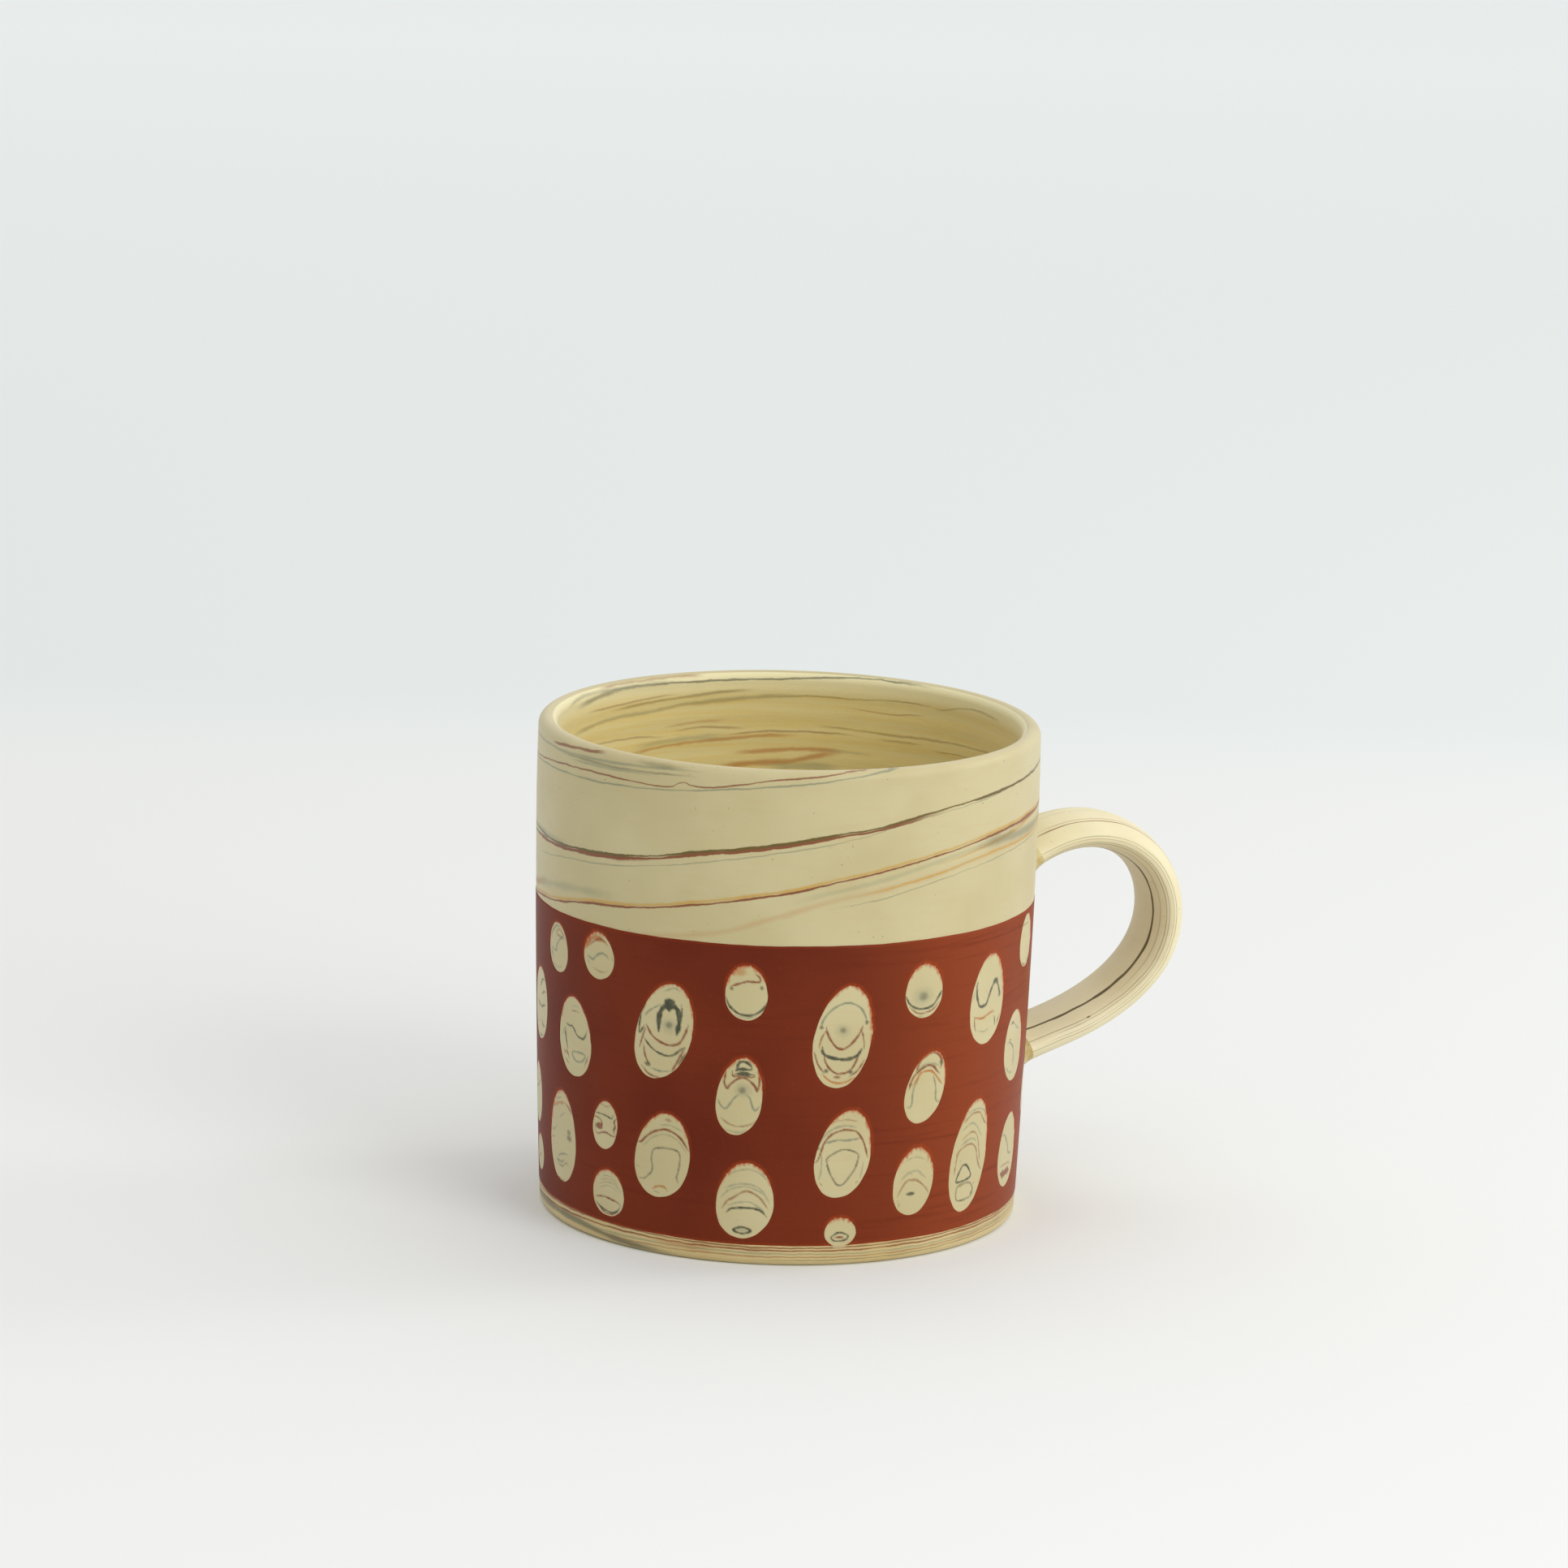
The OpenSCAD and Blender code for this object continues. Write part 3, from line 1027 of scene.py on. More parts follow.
        Spot(GREEN, (1.9, -0.2), (0.8, 0.5), 0.7),
        vein(RUST, 0.25, (-5.6, -1.3), (-4.9, -1.4), (-4, -1.1)),
        vein(GREY, 0.35, (-2.8, -4.6), (-1.8, -4), (0, -3.5), (1.6, -3.3)),
        vein(GREY, 0.45, (-3.5, -5.3), (-2.5, -5.2), (-1, -5.2), (0, -4.6)),
        vein(RUST, 0.3, (-0.2, -5.6), (0.3, -5.2), (1, -5.1), (1.5, -5.3)),
        vein(GREY, 0.3, (-2.9, -5.8), (-1, -6), (0.2, -5.5)),
        vein(RUST, 0.5, (-3, -8.3), (-2, -8.6), (-1.5, -8.8), (0, -8.6)),
    ), 0.8, 130),
    Window(26, 22, 6.4, 8.9, 0.08, (-0.4, -0.15), (
        faint(RUST, 0.25, (-2.2, 3.7), (-1, 3.5), (0, 3.3), (1.2, 3.6)),
        vein(GREEN, 0.28, (-2.9, 1.8), (-1.5, 1.7), (0, 1.6), (1.2, 1.3), (1.7, 1.8), (2, 2.3)),
        vein(RUST, 0.3, (-3.3, 1), (-2.3, 0.9), (-1.5, 0.6), (-1.2, 0.1), (-1.1, -0.8), (-1.5, -1.2)),
        Spot(RUST, (-1.9, -0.6), (0.85, 0.6), 1.0, 0.2),
        vein(GREEN, 0.35, (-2.8, -0.2), (-2.8, -1.7)),
        vein(RUST, 0.3, (-2.9, -1.8), (-2.2, -2.1), (-1.2, -1.7), (0, -1.5), (1, -1.8), (2, -1.9),
             (2.4, -1.5)),
        vein(RUST, 0.45, (2.5, 1.5), (2, 0.8), (2.2, -0.1), (1.9, -0.7), (2.1, -1.5)),
    ), 0.3, 90),
    Window(43, 18.5, 11.3, 15.7, 0.12, (-0.65, 0.05), (
        Spot(RUST, (0.7, 6.7), (0.6, 0.3), 0.5),
        faint(GREY, 0.3, (-1, 5.6), (1, 5.8), (3.5, 5)),
        vein(RUST, 0.4, (-5.8, 1.8), (-5, 2), (-4, 3), (-2.5, 4.1), (-1, 4.7), (0.3, 4.9), (1.8, 4.5),
             (3.2, 3.6), (4.2, 2.3), (4.7, 1.5)),
        vein(GREY, 0.3, (-4.6, 1.2), (-3, 2.8), (-1, 3.8), (1, 3.9), (3, 2.8), (4.4, 1), strength=0.4),
        vein(GREEN, 0.3, (-5.3, -4.8), (-4.3, -4.7), (-3.5, -4), (-2.8, -3.3), (-2.6, -2.3), (-2.8, -1),
             (-2.6, 0.5), (-1.8, 1.2), (0.3, 1.5), (2.4, 1.3), (3, 0.5), (3, -1), (2.7, -2.5),
             (2.4, -3.7), (2.8, -4.8), strength=0.6),
        vein(ORANGE, 0.4, (-2.5, -6.4), (-2, -6), (-1, -5.7), (0, -5.8), (0.6, -6.5)),
        vein(GREY, 0.3, (-2.4, -6.7), (-1, -7), strength=0.6),
        vein(RUST, 0.3, (-6, -2.6), (-5.5, -2.8)),
    ), 0.5, 80),
    Window(27, 9.5, 8.1, 8.6, 0.03, (-0.45, -0.1), (
        faint(GREY, 0.22, (-2.4, 2.5), (-1, 3), (0.5, 3), (2, 2.2)),
        vein(RUST, 0.22, (-2.8, 1.7), (-1, 2.4), (0.8, 2.4), (2.5, 1.2), strength=0.35),
        faint(GREY, 0.22, (-3, 1), (-1, 1.8), (1, 1.8), (2.8, 0.6)),
        vein(GREY, 0.22, (-2.9, 0.3), (-1, 1.1), (0.7, 1.1), (2.2, 0.4), strength=0.4),
        vein(RUST, 0.32, (-3.6, -1.4), (-2.5, -1.1), (-1, -1), (0.5, -1.2), (1.8, -1.4), (2.8, -2)),
        vein(GREEN, 0.35, (-3.7, -2.3), (-2.5, -3), (-1, -3.5), (0.5, -3.6), (1.8, -3.2), (2.8, -2)),
        vein(RUST, 0.28, (-2.8, -3), (-1.2, -3.9), (0.5, -3.9), (1.7, -3.4)),
    ), 0.6, 100),
    Window(63, 12, 10.6, 14, 0.06, (-0.3, -0.1), (
        faint(GREY, 0.3, (-3.5, 4.6), (-1.5, 5.4), (0.5, 5.7), (2.5, 5), (4, 3.5)),
        faint(GREY, 0.35, (-4, 2), (-2, 2.8), (0, 3), (2, 2.5), (3.7, 1)),
        faint(GREY, 0.3, (-4.8, 0.2), (-3, 1.8), (0, 2.5), (3, 1.3), (4.3, -0.5)),
        vein(RUST, 0.35, (-4.5, -1.8), (-3.5, -0.3), (-2.5, 0.3), (-1.2, 1.2), (0, 1.7), (1.3, 1.3),
             (2.5, 0.5), (3.3, -0.5), (4, -1.5), strength=0.65),
        faint(GREY, 0.3, (-3.5, -1.2), (-1.5, -0.5), (0.5, -0.3), (2, -1), (3.5, -2)),
        vein(GREEN, 0.4, (-3.7, -2.5), (-2.8, -1.7), (-1.5, -1.5), (0, -1.4), (1.6, -1.5), (2.8, -1.9),
             (3.8, -3)),
        ring_vein(GREEN, 0.4, (-2.3, -5.6), (-0.7, -5), (0.9, -5.6), (-0.7, -6.2)),
        Spot(GREY, (-0.7, -5.6), (1.1, 0.4), 0.4),
    ), 0.7, 90),
    Window(85, 20.5, 10.3, 16.1, 0.14, (0.25, 0.15), (
        vein(RUST, 0.25, (-2, 6.1), (0.5, 6.5), (3, 6), strength=0.4),
        vein(GREY, 0.35, (-4.7, 1.3), (-3.8, 3.2), (-2, 4.8), (0.3, 5.4), (2.5, 5), strength=0.6),
        Spot(GREEN, (-4.7, 1.4), (0.35, 0.35), 0.7),
        vein(RUST, 0.35, (-5, -1.3), (-4.4, -0.6), (-3.9, 1), (-3.4, 2.4), (-2.2, 3.8), (-0.5, 4.5),
             (0.8, 4.6), (2.3, 4.3), (3.3, 3.3), (4, 2), (4.5, 0.5), (4.8, -0.8)),
        vein(GREY, 0.35, (-3.5, 2.2), (-1, 2.8), (0.3, 2.7), (2, 2.8), (3.5, 3)),
        ring_vein(GREEN, 0.3, (-2.8, -0.5), (-1.5, 0.4), (0, 1), (1.5, 0.8), (2.9, 0.1), (3, -0.8),
                  (2.5, -2.5), (1.5, -4), (0.3, -5.4), (-0.6, -5.5), (-1.2, -5), (-2.2, -3.3),
                  (-2.8, -1.5), strength=0.65),
        vein(GREY, 0.3, (-3.8, 0), (-3.9, -3), (-4.3, -4.5), strength=0.6),
        vein(GREY, 0.3, (4, -1.5), (3.8, -3), (3.5, -4.5), strength=0.6),
        vein(RUST, 0.3, (-4, -5.1), (-3.5, -5.6)),
        vein(RUST, 0.3, (2.7, -5.3), (3.2, -4.8)),
    ), 0.7, 60),
    Window(104, 14.5, 8.7, 12.5, 0.1, (-0.3, 0), (
        vein(GREY, 0.35, (-2.3, 3.8), (-1, 4.3), (0.5, 4.3), (2.2, 3.6), strength=0.4),
        vein(GREY, 0.4, (-3.4, 0), (-2.4, 1), (-1.2, 1.7), (0.4, 1.8), (1.5, 0.9), (2.5, 0.2),
             strength=0.45),
        vein(RUST, 0.35, (-3.7, -2.6), (-3, -1.3), (-2, 0), (-1, 0.3), (0, 0.2), (1.3, -0.6), (2.5, -1.7),
             (3.2, -2.7), strength=0.55),
        Spot(RUST, (-0.4, 0.2), (0.7, 0.25), 0.6),
        Spot(GREEN, (-0.9, -2.3), (0.95, 0.32), 0.9, 0.3),
        vein(GREEN, 0.28, (-3.4, -3.6), (-3.3, -4.6)),
        vein(GREY, 0.28, (2.5, -3.8), (2.9, -4.1)),
    ), 1.0, 80),
    Window(121, 17, 10.4, 20.4, 0.15, (0.25, 0.1), (
        faint(GREY, 0.3, (-1.5, 7.8), (1.3, 8.4), (3.5, 8), (4.7, 6.8)),
        vein(RUST, 0.3, (-2, 6.3), (-0.5, 7.4), (0.8, 7.8), (2.5, 7.6), (3.5, 6.5), (4.5, 5.3),
             (5.2, 4.9), strength=0.6),
        faint(GREY, 0.35, (-2.5, 5), (0.3, 6), (2, 5), (3.5, 3)),
        faint(RUST, 0.3, (-2.3, 3.3), (0, 4.3), (1.5, 4), (2.5, 2.5), (3.5, -2)),
        vein(GREY, 0.35, (-2.5, 2.2), (-1, 2.9), (0.7, 3.1), (2, 2.4), strength=0.6),
        vein(RUST, 0.32, (-4, -3), (-3.6, -0.5), (-3.2, 1), (-2, 1.8), (0, 2.2), (1.3, 1.7), (2.1, 0.7),
             (2.5, -0.8), (3.3, -2.5), (4.3, -3.5), strength=0.6),
        ring_vein(GREEN, 0.38, (-3.3, -4), (-2, -1.8), (-1.2, -1.5), (-0.3, -1.9), (0.8, -3.7),
                  (-0.3, -4.3), (-2.6, -4.5)),
        ring_vein(GREEN, 0.32, (-2.5, -5.2), (0.3, -5), (1.6, -6.2), (1.4, -7.2), (0.8, -7.8),
                  (-2.7, -7.9), (-3.1, -6), strength=0.6),
        Spot(GREEN, (1.3, -7.2), (0.35, 0.35), 0.7),
        Spot(GREEN, (-2, -5.1), (0.5, 0.3), 0.6),
    ), 0.8, 60),
    Window(140, 15, 9.2, 13.7, 0.06, (0.4, -0.1), (
        vein(GREY, 0.45, (-2.8, 3.1), (-2, 3.1), (-1.2, 2.6), (-0.3, 1.5), (0.5, 0.3), (0.8, -0.6),
             (1.5, -1), (3, -1.3)),
        vein(RUST, 0.3, (-3, -2.8), (-1.5, -2.7), (0.3, -2.7), (1.5, -2.8), (2.5, -3.3), strength=0.6),
        vein(RUST, 1.3, (-2.6, -4.1), (-1, -4.4), (0.5, -4.2), (2.2, -4.4), strength=1.0),
    ), 1.0, 20),
    Window(85, 6.5, 6, 5.4, 0, (0.2, -0.2), (
        ring_vein(GREEN, 0.32, (-1.5, -1.2), (-0.8, -0.6), (0, -0.3), (0.8, -0.5), (1.7, -1), (1.2, -1.7),
                  (0, -1.9), (-1, -1.8)),
        vein(RUST, 0.5, (-0.9, -1.2), (0.9, -1.2), strength=0.8),
        vein(RUST, 0.25, (-2.3, -2.3), (-1.5, -2.7), strength=0.7),
    ), 1.0, 90),
    Window(-9, 21, 8, 11.4, 0.08, (-2, 0.2), (
        vein(RUST, 0.35, (-5, 0.5), (-3, 1.1), (-1.5, 1.6), (0, 2.6), (1, 3), strength=0.7),
        faint(GREY, 0.3, (-5, 1.7), (-2, 2.3)),
    ), 0.4, 110),
    Window(-9, 10.5, 7, 6.8, 0.05, (-0.7, -0.2), (
        vein(GREEN, 0.4, (-1.5, -1.2), (-0.5, -0.8), (0.5, -0.3)),
        vein(RUST, 0.3, (-1.2, -1.4), (0, -0.9), strength=0.6),
    ), 0.4, 110),
    Window(156, 24, 6, 10, 0.1, (0, 0), (), 0.8, 20),
)


# ---------------------------------------------------------------------------------------------
# Flat drawings


@dataclass
class FlatPlate:
    """Closed flat plates, each triangulated from an outline, holes and inner points.

    Positions are (round the wall, height) in millimetres. A plain back has only the rim's points.
    """

    top: float
    bottom: float
    plain_back: bool = False
    points: list[Array] = field(default_factory=list)
    faces: list[Array] = field(default_factory=list)
    count: int = 0

    def add(self, loops: Sequence[Array], inner: Array, keep: Callable[[Array], Array]) -> Array:
        """Adds one plate.

        Args:
            loops: Closed outlines, the holes included.
            inner: Loose points inside it.
            keep: Says which triangle centres belong to the plate.

        Returns:
            The flat places of the plate's points, front and back.
        """
        edges: list[tuple[int, int]] = []
        for loop in loops:
            start, size = len(edges), len(loop)
            edges += [(start + i, start + (i + 1) % size) for i in range(size)]
        spots, triangles = self.triangulate(np.vstack([*loops, inner]), edges, keep)
        used, packed = np.unique(triangles, return_inverse=True)
        triangles, spots = packed.reshape(-1, 3), spots[used]
        total = len(spots)
        sides = np.vstack([triangles[:, [0, 1]], triangles[:, [1, 2]], triangles[:, [2, 0]]])
        known = {(a, b) for a, b in sides.tolist()}
        rim = np.array(sorted((a, b) for a, b in known if (b, a) not in known))
        under, back = spots, triangles
        place = np.arange(total)
        if self.plain_back:
            edge, tied = np.unique(rim, return_inverse=True)
            under = spots[edge]
            place[edge] = np.arange(len(edge))
            pairs = [tuple(pair) for pair in tied.reshape(-1, 2).tolist()]
            back = self.triangulate(under, pairs, keep)[1]
        low = place[rim] + total
        walls = np.vstack(
            [
                np.column_stack([rim[:, 1], rim[:, 0], low[:, 0]]),
                np.column_stack([rim[:, 1], low[:, 0], low[:, 1]]),
            ]
        )
        self.points.append(np.column_stack([spots, np.full(total, self.top)]))
        self.points.append(np.column_stack([under, np.full(len(under), self.bottom)]))
        self.faces.append(np.vstack([triangles, back[:, ::-1] + total, walls]) + self.count)
        self.count += total + len(under)
        return np.vstack([spots, under])

    @staticmethod
    def triangulate(
        points: Array,
        edges: list[tuple[int, int]],
        keep: Callable[[Array], Array],
    ) -> tuple[Array, Array]:
        """Joins points into triangles that respect some edges.

        Args:
            points: The points.
            edges: Pairs of points that have to stay joined.
            keep: Says which triangle centres are kept.

        Returns:
            The points as the triangles number them, and the triangles.
        """
        made = delaunay_2d_cdt([Vector(p) for p in points], edges, [], 0, 1e-6)
        spots = np.array([tuple(p) for p in made[0]])
        triangles = np.array(list(made[2]))
        return spots, triangles[keep(spots[triangles].mean(axis=1))]

    def mesh(self, name: str, **numbers: Array) -> Mesh:
        """The plates as one mesh in metres.

        Args:
            name: The mesh's name.
            numbers: Attributes for its points.

        Returns:
            The mesh.
        """
        points = np.vstack(self.points) * MM
        return feed_mesh(name, points, np.vstack(self.faces).tolist(), **numbers)


def inside(points: Array, loop: Array) -> Array:
    """Which points lie inside a closed loop.

    Args:
        points: The points.
        loop: The loop.

    Returns:
        True for each point inside.
    """
    result = np.zeros(len(points), bool)
    low, high = loop.min(axis=0), loop.max(axis=0)
    near = np.flatnonzero(((points > low) & (points < high)).all(axis=1))
    if len(near) == 0:
        return result
    x, y = points[near, 0][:, None], points[near, 1][:, None]
    x0, y0 = loop[:, 0], loop[:, 1]
    x1, y1 = np.roll(x0, -1), np.roll(y0, -1)
    level = np.where(y1 == y0, 1e-12, y1 - y0)
    crosses = ((y0 > y) != (y1 > y)) & (x < (x1 - x0) * (y - y0) / level + x0)
    result[near] = crosses.sum(axis=1) % 2 == 1
    return result


def reach(points: Array, loop: Array, limit: float) -> Array:
    """The distance from each point to a closed loop, up to a limit.

    Args:
        points: The points.
        loop: The loop.
        limit: The largest distance that matters.

    Returns:
        A distance for each point.
    """
    result = np.full(len(points), limit)
    low, high = loop.min(axis=0) - limit, loop.max(axis=0) + limit
    near = np.flatnonzero(((points > low) & (points < high)).all(axis=1))
    for part in np.array_split(near, max(1, len(near) // 2000)):
        if len(part) == 0:
            continue
        a, b = loop, np.roll(loop, -1, axis=0)
        run = b - a
        gap = points[part][:, None, :] - a[None]
        share = np.clip((gap * run).sum(axis=2) / (run * run).sum(axis=1), 0, 1)
        off = gap - share[..., None] * run[None]
        result[part] = np.minimum(np.sqrt((off * off).sum(axis=2)).min(axis=1), limit)
    return result


# ---------------------------------------------------------------------------------------------
# Finishes


@dataclass(frozen=True)
class WallVein:
    """One vein round the wall, as a smooth line of (turn, height)."""

    pigment: Pigment
    width: float
    points: tuple[Point, ...]
    strength: float = 0.8
    fade: float = 12.0
    blur: float = 0.0


@dataclass(frozen=True)
class CreamClay:
    """The cream clay and everything that is drawn in it."""

    light: str = "c9bd90"
    dark: str = "c1b485"
    warm: str = "c3a86c"
    speck: str = "6f6242"
    roughness: float = 0.5
    sheen: float = 0.15

    def base(self, shader: Shader) -> Socket:
        """The clay's own uneven colour.

        Args:
            shader: The material that it is built in.

        Returns:
            The colour.
        """
        cloud = shader.remap(shader.noise(shader.place(), 45, 3), 0.35, 0.65)
        colour = shader.mix(cloud, tint(self.light), tint(self.dark))
        streak = shader.noise(shader.place((1, 1, 9)), 90, 4, 0.6)
        colour = shader.mix(shader.remap(streak, 0.45, 0.8, 0, 0.2), colour, tint(self.warm))
        grain = shader.noise(shader.place(), 1300, 1)
        return shader.mix(shader.remap(grain, 0.76, 0.82, 0, 0.6), colour, tint(self.speck))

    def finish(self, shader: Shader, colour: Socket) -> Material:
        """Fills in the surface of a clay.

        Args:
            shader: The material that it is built in.
            colour: The clay's colour with its stains.

        Returns:
            The material.
        """
        self.relief(shader)
        return shader.finish(
            colour, self.roughness, Specular_IOR_Level=0.45, Sheen_Weight=self.sheen
        )

    def relief(self, shader: Shader) -> None:
        """The fine grain and throwing lines of the surface."""
        rings = shader.noise(shader.place((1, 1, 14)), 60, 5, 0.7)
        grain = shader.noise(shader.place(), 1500, 2)
        shader.bump(shader.math("ADD", rings, shader.math("MULTIPLY", grain, 0.35)), 0.06)


@dataclass(frozen=True)
class WallFinish:
    """The veined clay of the thrown wall.

    Inside and outside meet on the lip, between inner_reach and outer_reach from the axis. The
    inside is painted paler and yellower than the outside, with yellow throwing streaks: painted light
    for the light that bounces round in the cup. From lip_low to lip_high it is painted paler still:
    painted light where more light reaches near the lip. A vein that ends at the handle's turn doesn't
    fade.
    """

    CURVE_TOP: ClassVar[float] = 100.0

    clay: CreamClay
    outside: tuple[WallVein, ...]
    inside: tuple[WallVein, ...]
    # Painted light: the inside's paler colour, its yellow streak tone and the paler lip stand in for
    # light that bounces in the cup and reaches the lip.
    inner_painted_pale: str = "dfd69e"
    inner_bounce_streaks: str = "dcbf6b"
    lip_painted_light: str = "e8dfb0"
    foot_tone: str = "dcb25c"
    foot_top: float = 4.6
    inner_reach: float = 42.6
    outer_reach: float = 42.8
    lip_low: float = 85.0
    lip_high: float = 88.5

    def vein_mask(
        self,
        shader: Shader,
        item: WallVein,
        turn: Socket,
        height: Socket,
        swell: Socket,
    ) -> Socket:
        """How strongly one vein stains each place.

        Args:
            shader: The material.
            item: The vein.
            turn: The turn in degrees.
            height: The height in millimetres, with its wobble.
            swell: A factor on the vein's width.

        Returns:
            A strength from 0 to 1.
        """
        knots = sorted(item.points)
        curve = shader.add("ShaderNodeFloatCurve")
        line = curve.mapping.curves[0]
        places = [((t + 180) / 360, z / self.CURVE_TOP) for t, z in knots]
        line.points[0].location = (0.0, places[0][1])
        line.points[1].location = (1.0, places[-1][1])
        for spot in places:
            line.points.new(*spot)
        curve.mapping.update()
        shader.feed(curve.inputs["Value"], shader.remap(turn, -180, 180, 0, 1, False))
        middle = shader.math("MULTIPLY", curve.outputs[0], self.CURVE_TOP)
        gap = shader.math("ABSOLUTE", shader.math("SUBTRACT", height, middle))
        half = shader.math("MULTIPLY", swell, item.width / 2)
        edge = shader.math("SUBTRACT", gap, half)
        soft = 0.1 + item.blur
        mask = shader.remap(edge, -soft, soft, 1, 0)
        if knots[0][0] > -180:
            rise = shader.remap(turn, knots[0][0] - 1, knots[0][0] + item.fade)
            mask = shader.math("MULTIPLY", mask, rise)
        if knots[-1][0] < 180:
            fall = shader.remap(turn, knots[-1][0] - item.fade, knots[-1][0] + 1, 1, 0)
            mask = shader.math("MULTIPLY", mask, fall)
        return shader.math("MULTIPLY", mask, item.strength)

    def build(self) -> Material:
        """Makes the material.

        Returns:
            The material.
        """
        shader = Shader("veined_clay")
        turn, height, far = shader.polar()
        wobble = shader.noise(shader.place(), 300, 4, 0.65)
        shaken = shader.math("ADD", height, shader.remap(wobble, 0, 1, -0.3, 0.3, False))
        swell = shader.remap(shader.noise(shader.place((1, 1, 0.3)), 110, 3), 0.3, 0.7, 0.6, 1.35)
        outer = shader.remap(far, self.inner_reach, self.outer_reach)
        colour = self.clay.base(shader)
        foot = shader.remap(height, self.foot_top - 0.4, self.foot_top + 0.2, 0.3, 0)
        colour = shader.mix(foot, colour, tint(self.foot_tone))
        rings = shader.noise(shader.place((1, 1, 26)), 45, 4, 0.7)
        # Painted light: the inside is painted paler, with yellow throwing streaks, for light that bounces
        # in the cup, and paler still near the lip.
        pale = shader.mix(0.8, colour, tint(self.inner_painted_pale))
        inner = shader.mix(shader.remap(rings, 0.35, 0.7, 0.2, 0.65), pale, tint(self.inner_bounce_streaks))
        lip = shader.remap(height, self.lip_low, self.lip_high)
        inner = shader.mix(lip, inner, tint(self.lip_painted_light))
        for item in self.outside:
            mask = self.vein_mask(shader, item, turn, shaken, swell)
            colour = shader.mix(mask, colour, item.pigment.colour)
        for item in self.inside:
            mask = self.vein_mask(shader, item, turn, shaken, swell)
            inner = shader.mix(mask, inner, item.pigment.colour)
        colour = shader.mix(outer, inner, colour)
        return self.clay.finish(shader, colour)


@dataclass(frozen=True)
class WindowFinish:
    """The clay in the windows, with the stains that each point carries."""

    clay: CreamClay
    haze: str = "ae5220"

    def build(self) -> Material:
        """Makes the material.

        Returns:
            The material.
        """
        shader = Shader("window_clay")
        colour = self.clay.base(shader)
        broken = shader.remap(shader.noise(shader.place(), 900, 2), 0.25, 0.6, 0.85, 1.0)
        for pigment in Pigment:
            mask = shader.math("MULTIPLY", shader.own(pigment.value), broken)
            colour = shader.mix(mask, colour, pigment.colour)
        colour = shader.mix(shader.own("slip_haze"), colour, tint(self.haze))
        return self.clay.finish(shader, colour)


@dataclass(frozen=True)
class SlipFinish:
    """The matt red slip, brushed on while the mug turned.

    Towards the right as seen, over a span of turns, it is painted lighter and redder: painted light for
    the sheen that the key and side lights give there. The span gives where that starts, is full, wanes
    and ends.
    """

    body: str = "752f18"
    dark: str = "672715"
    # Painted light: the lighter red of the side that the key and side lights reach, and the span of turns
    # that it covers.
    right_painted_light: str = "8a3e20"
    right_painted_light_span: tuple[float, float, float, float] = (72.0, 122.0, 150.0, 178.0)
    edge: str = "a8431a"
    scratch: str = "884022"
    roughness: float = 0.45

    def build(self) -> Material:
        """Makes the material.

        Returns:
            The material.
        """
        shader = Shader("red_slip")
        cloud = shader.remap(shader.noise(shader.place(), 30, 2), 0.35, 0.65)
        colour = shader.mix(cloud, tint(self.body), tint(self.dark))
        turn = shader.polar()[0]
        # Painted light: lighter red towards the lit right side, by turn.
        start, full, fall, end = self.right_painted_light_span
        right_painted_light = shader.math(
            "MULTIPLY", shader.remap(turn, start, full), shader.remap(turn, fall, end, 1, 0)
        )
        colour = shader.mix(right_painted_light, colour, tint(self.right_painted_light))
        streak = shader.noise(shader.place((1, 1, 22)), 40, 5, 0.65)
        colour = shader.mix(shader.remap(streak, 0.5, 0.75, 0, 0.5), colour, tint(self.dark))
        grain = shader.noise(shader.place(), 2200, 2)
        colour = shader.mix(shader.remap(grain, 0.66, 0.78, 0, 0.5), colour, tint(self.scratch))
        worn = shader.math("MULTIPLY", shader.own("edge_glow"), shader.remap(grain, 0.3, 0.7, 0.6, 1))
        colour = shader.mix(worn, colour, tint(self.edge))
        relief = shader.math("ADD", shader.math("MULTIPLY", streak, 0.6), grain)
        shader.bump(relief, 0.03)
        return shader.finish(colour, self.roughness, Specular_IOR_Level=0.07)


@dataclass(frozen=True)
class StrapLine:
    """One line drawn along the strap: how far round its section it runs."""

    pigment: Pigment
    round_way: float
    width: float
    strength: float
    start: float = 0.0
    end: float = 4.0


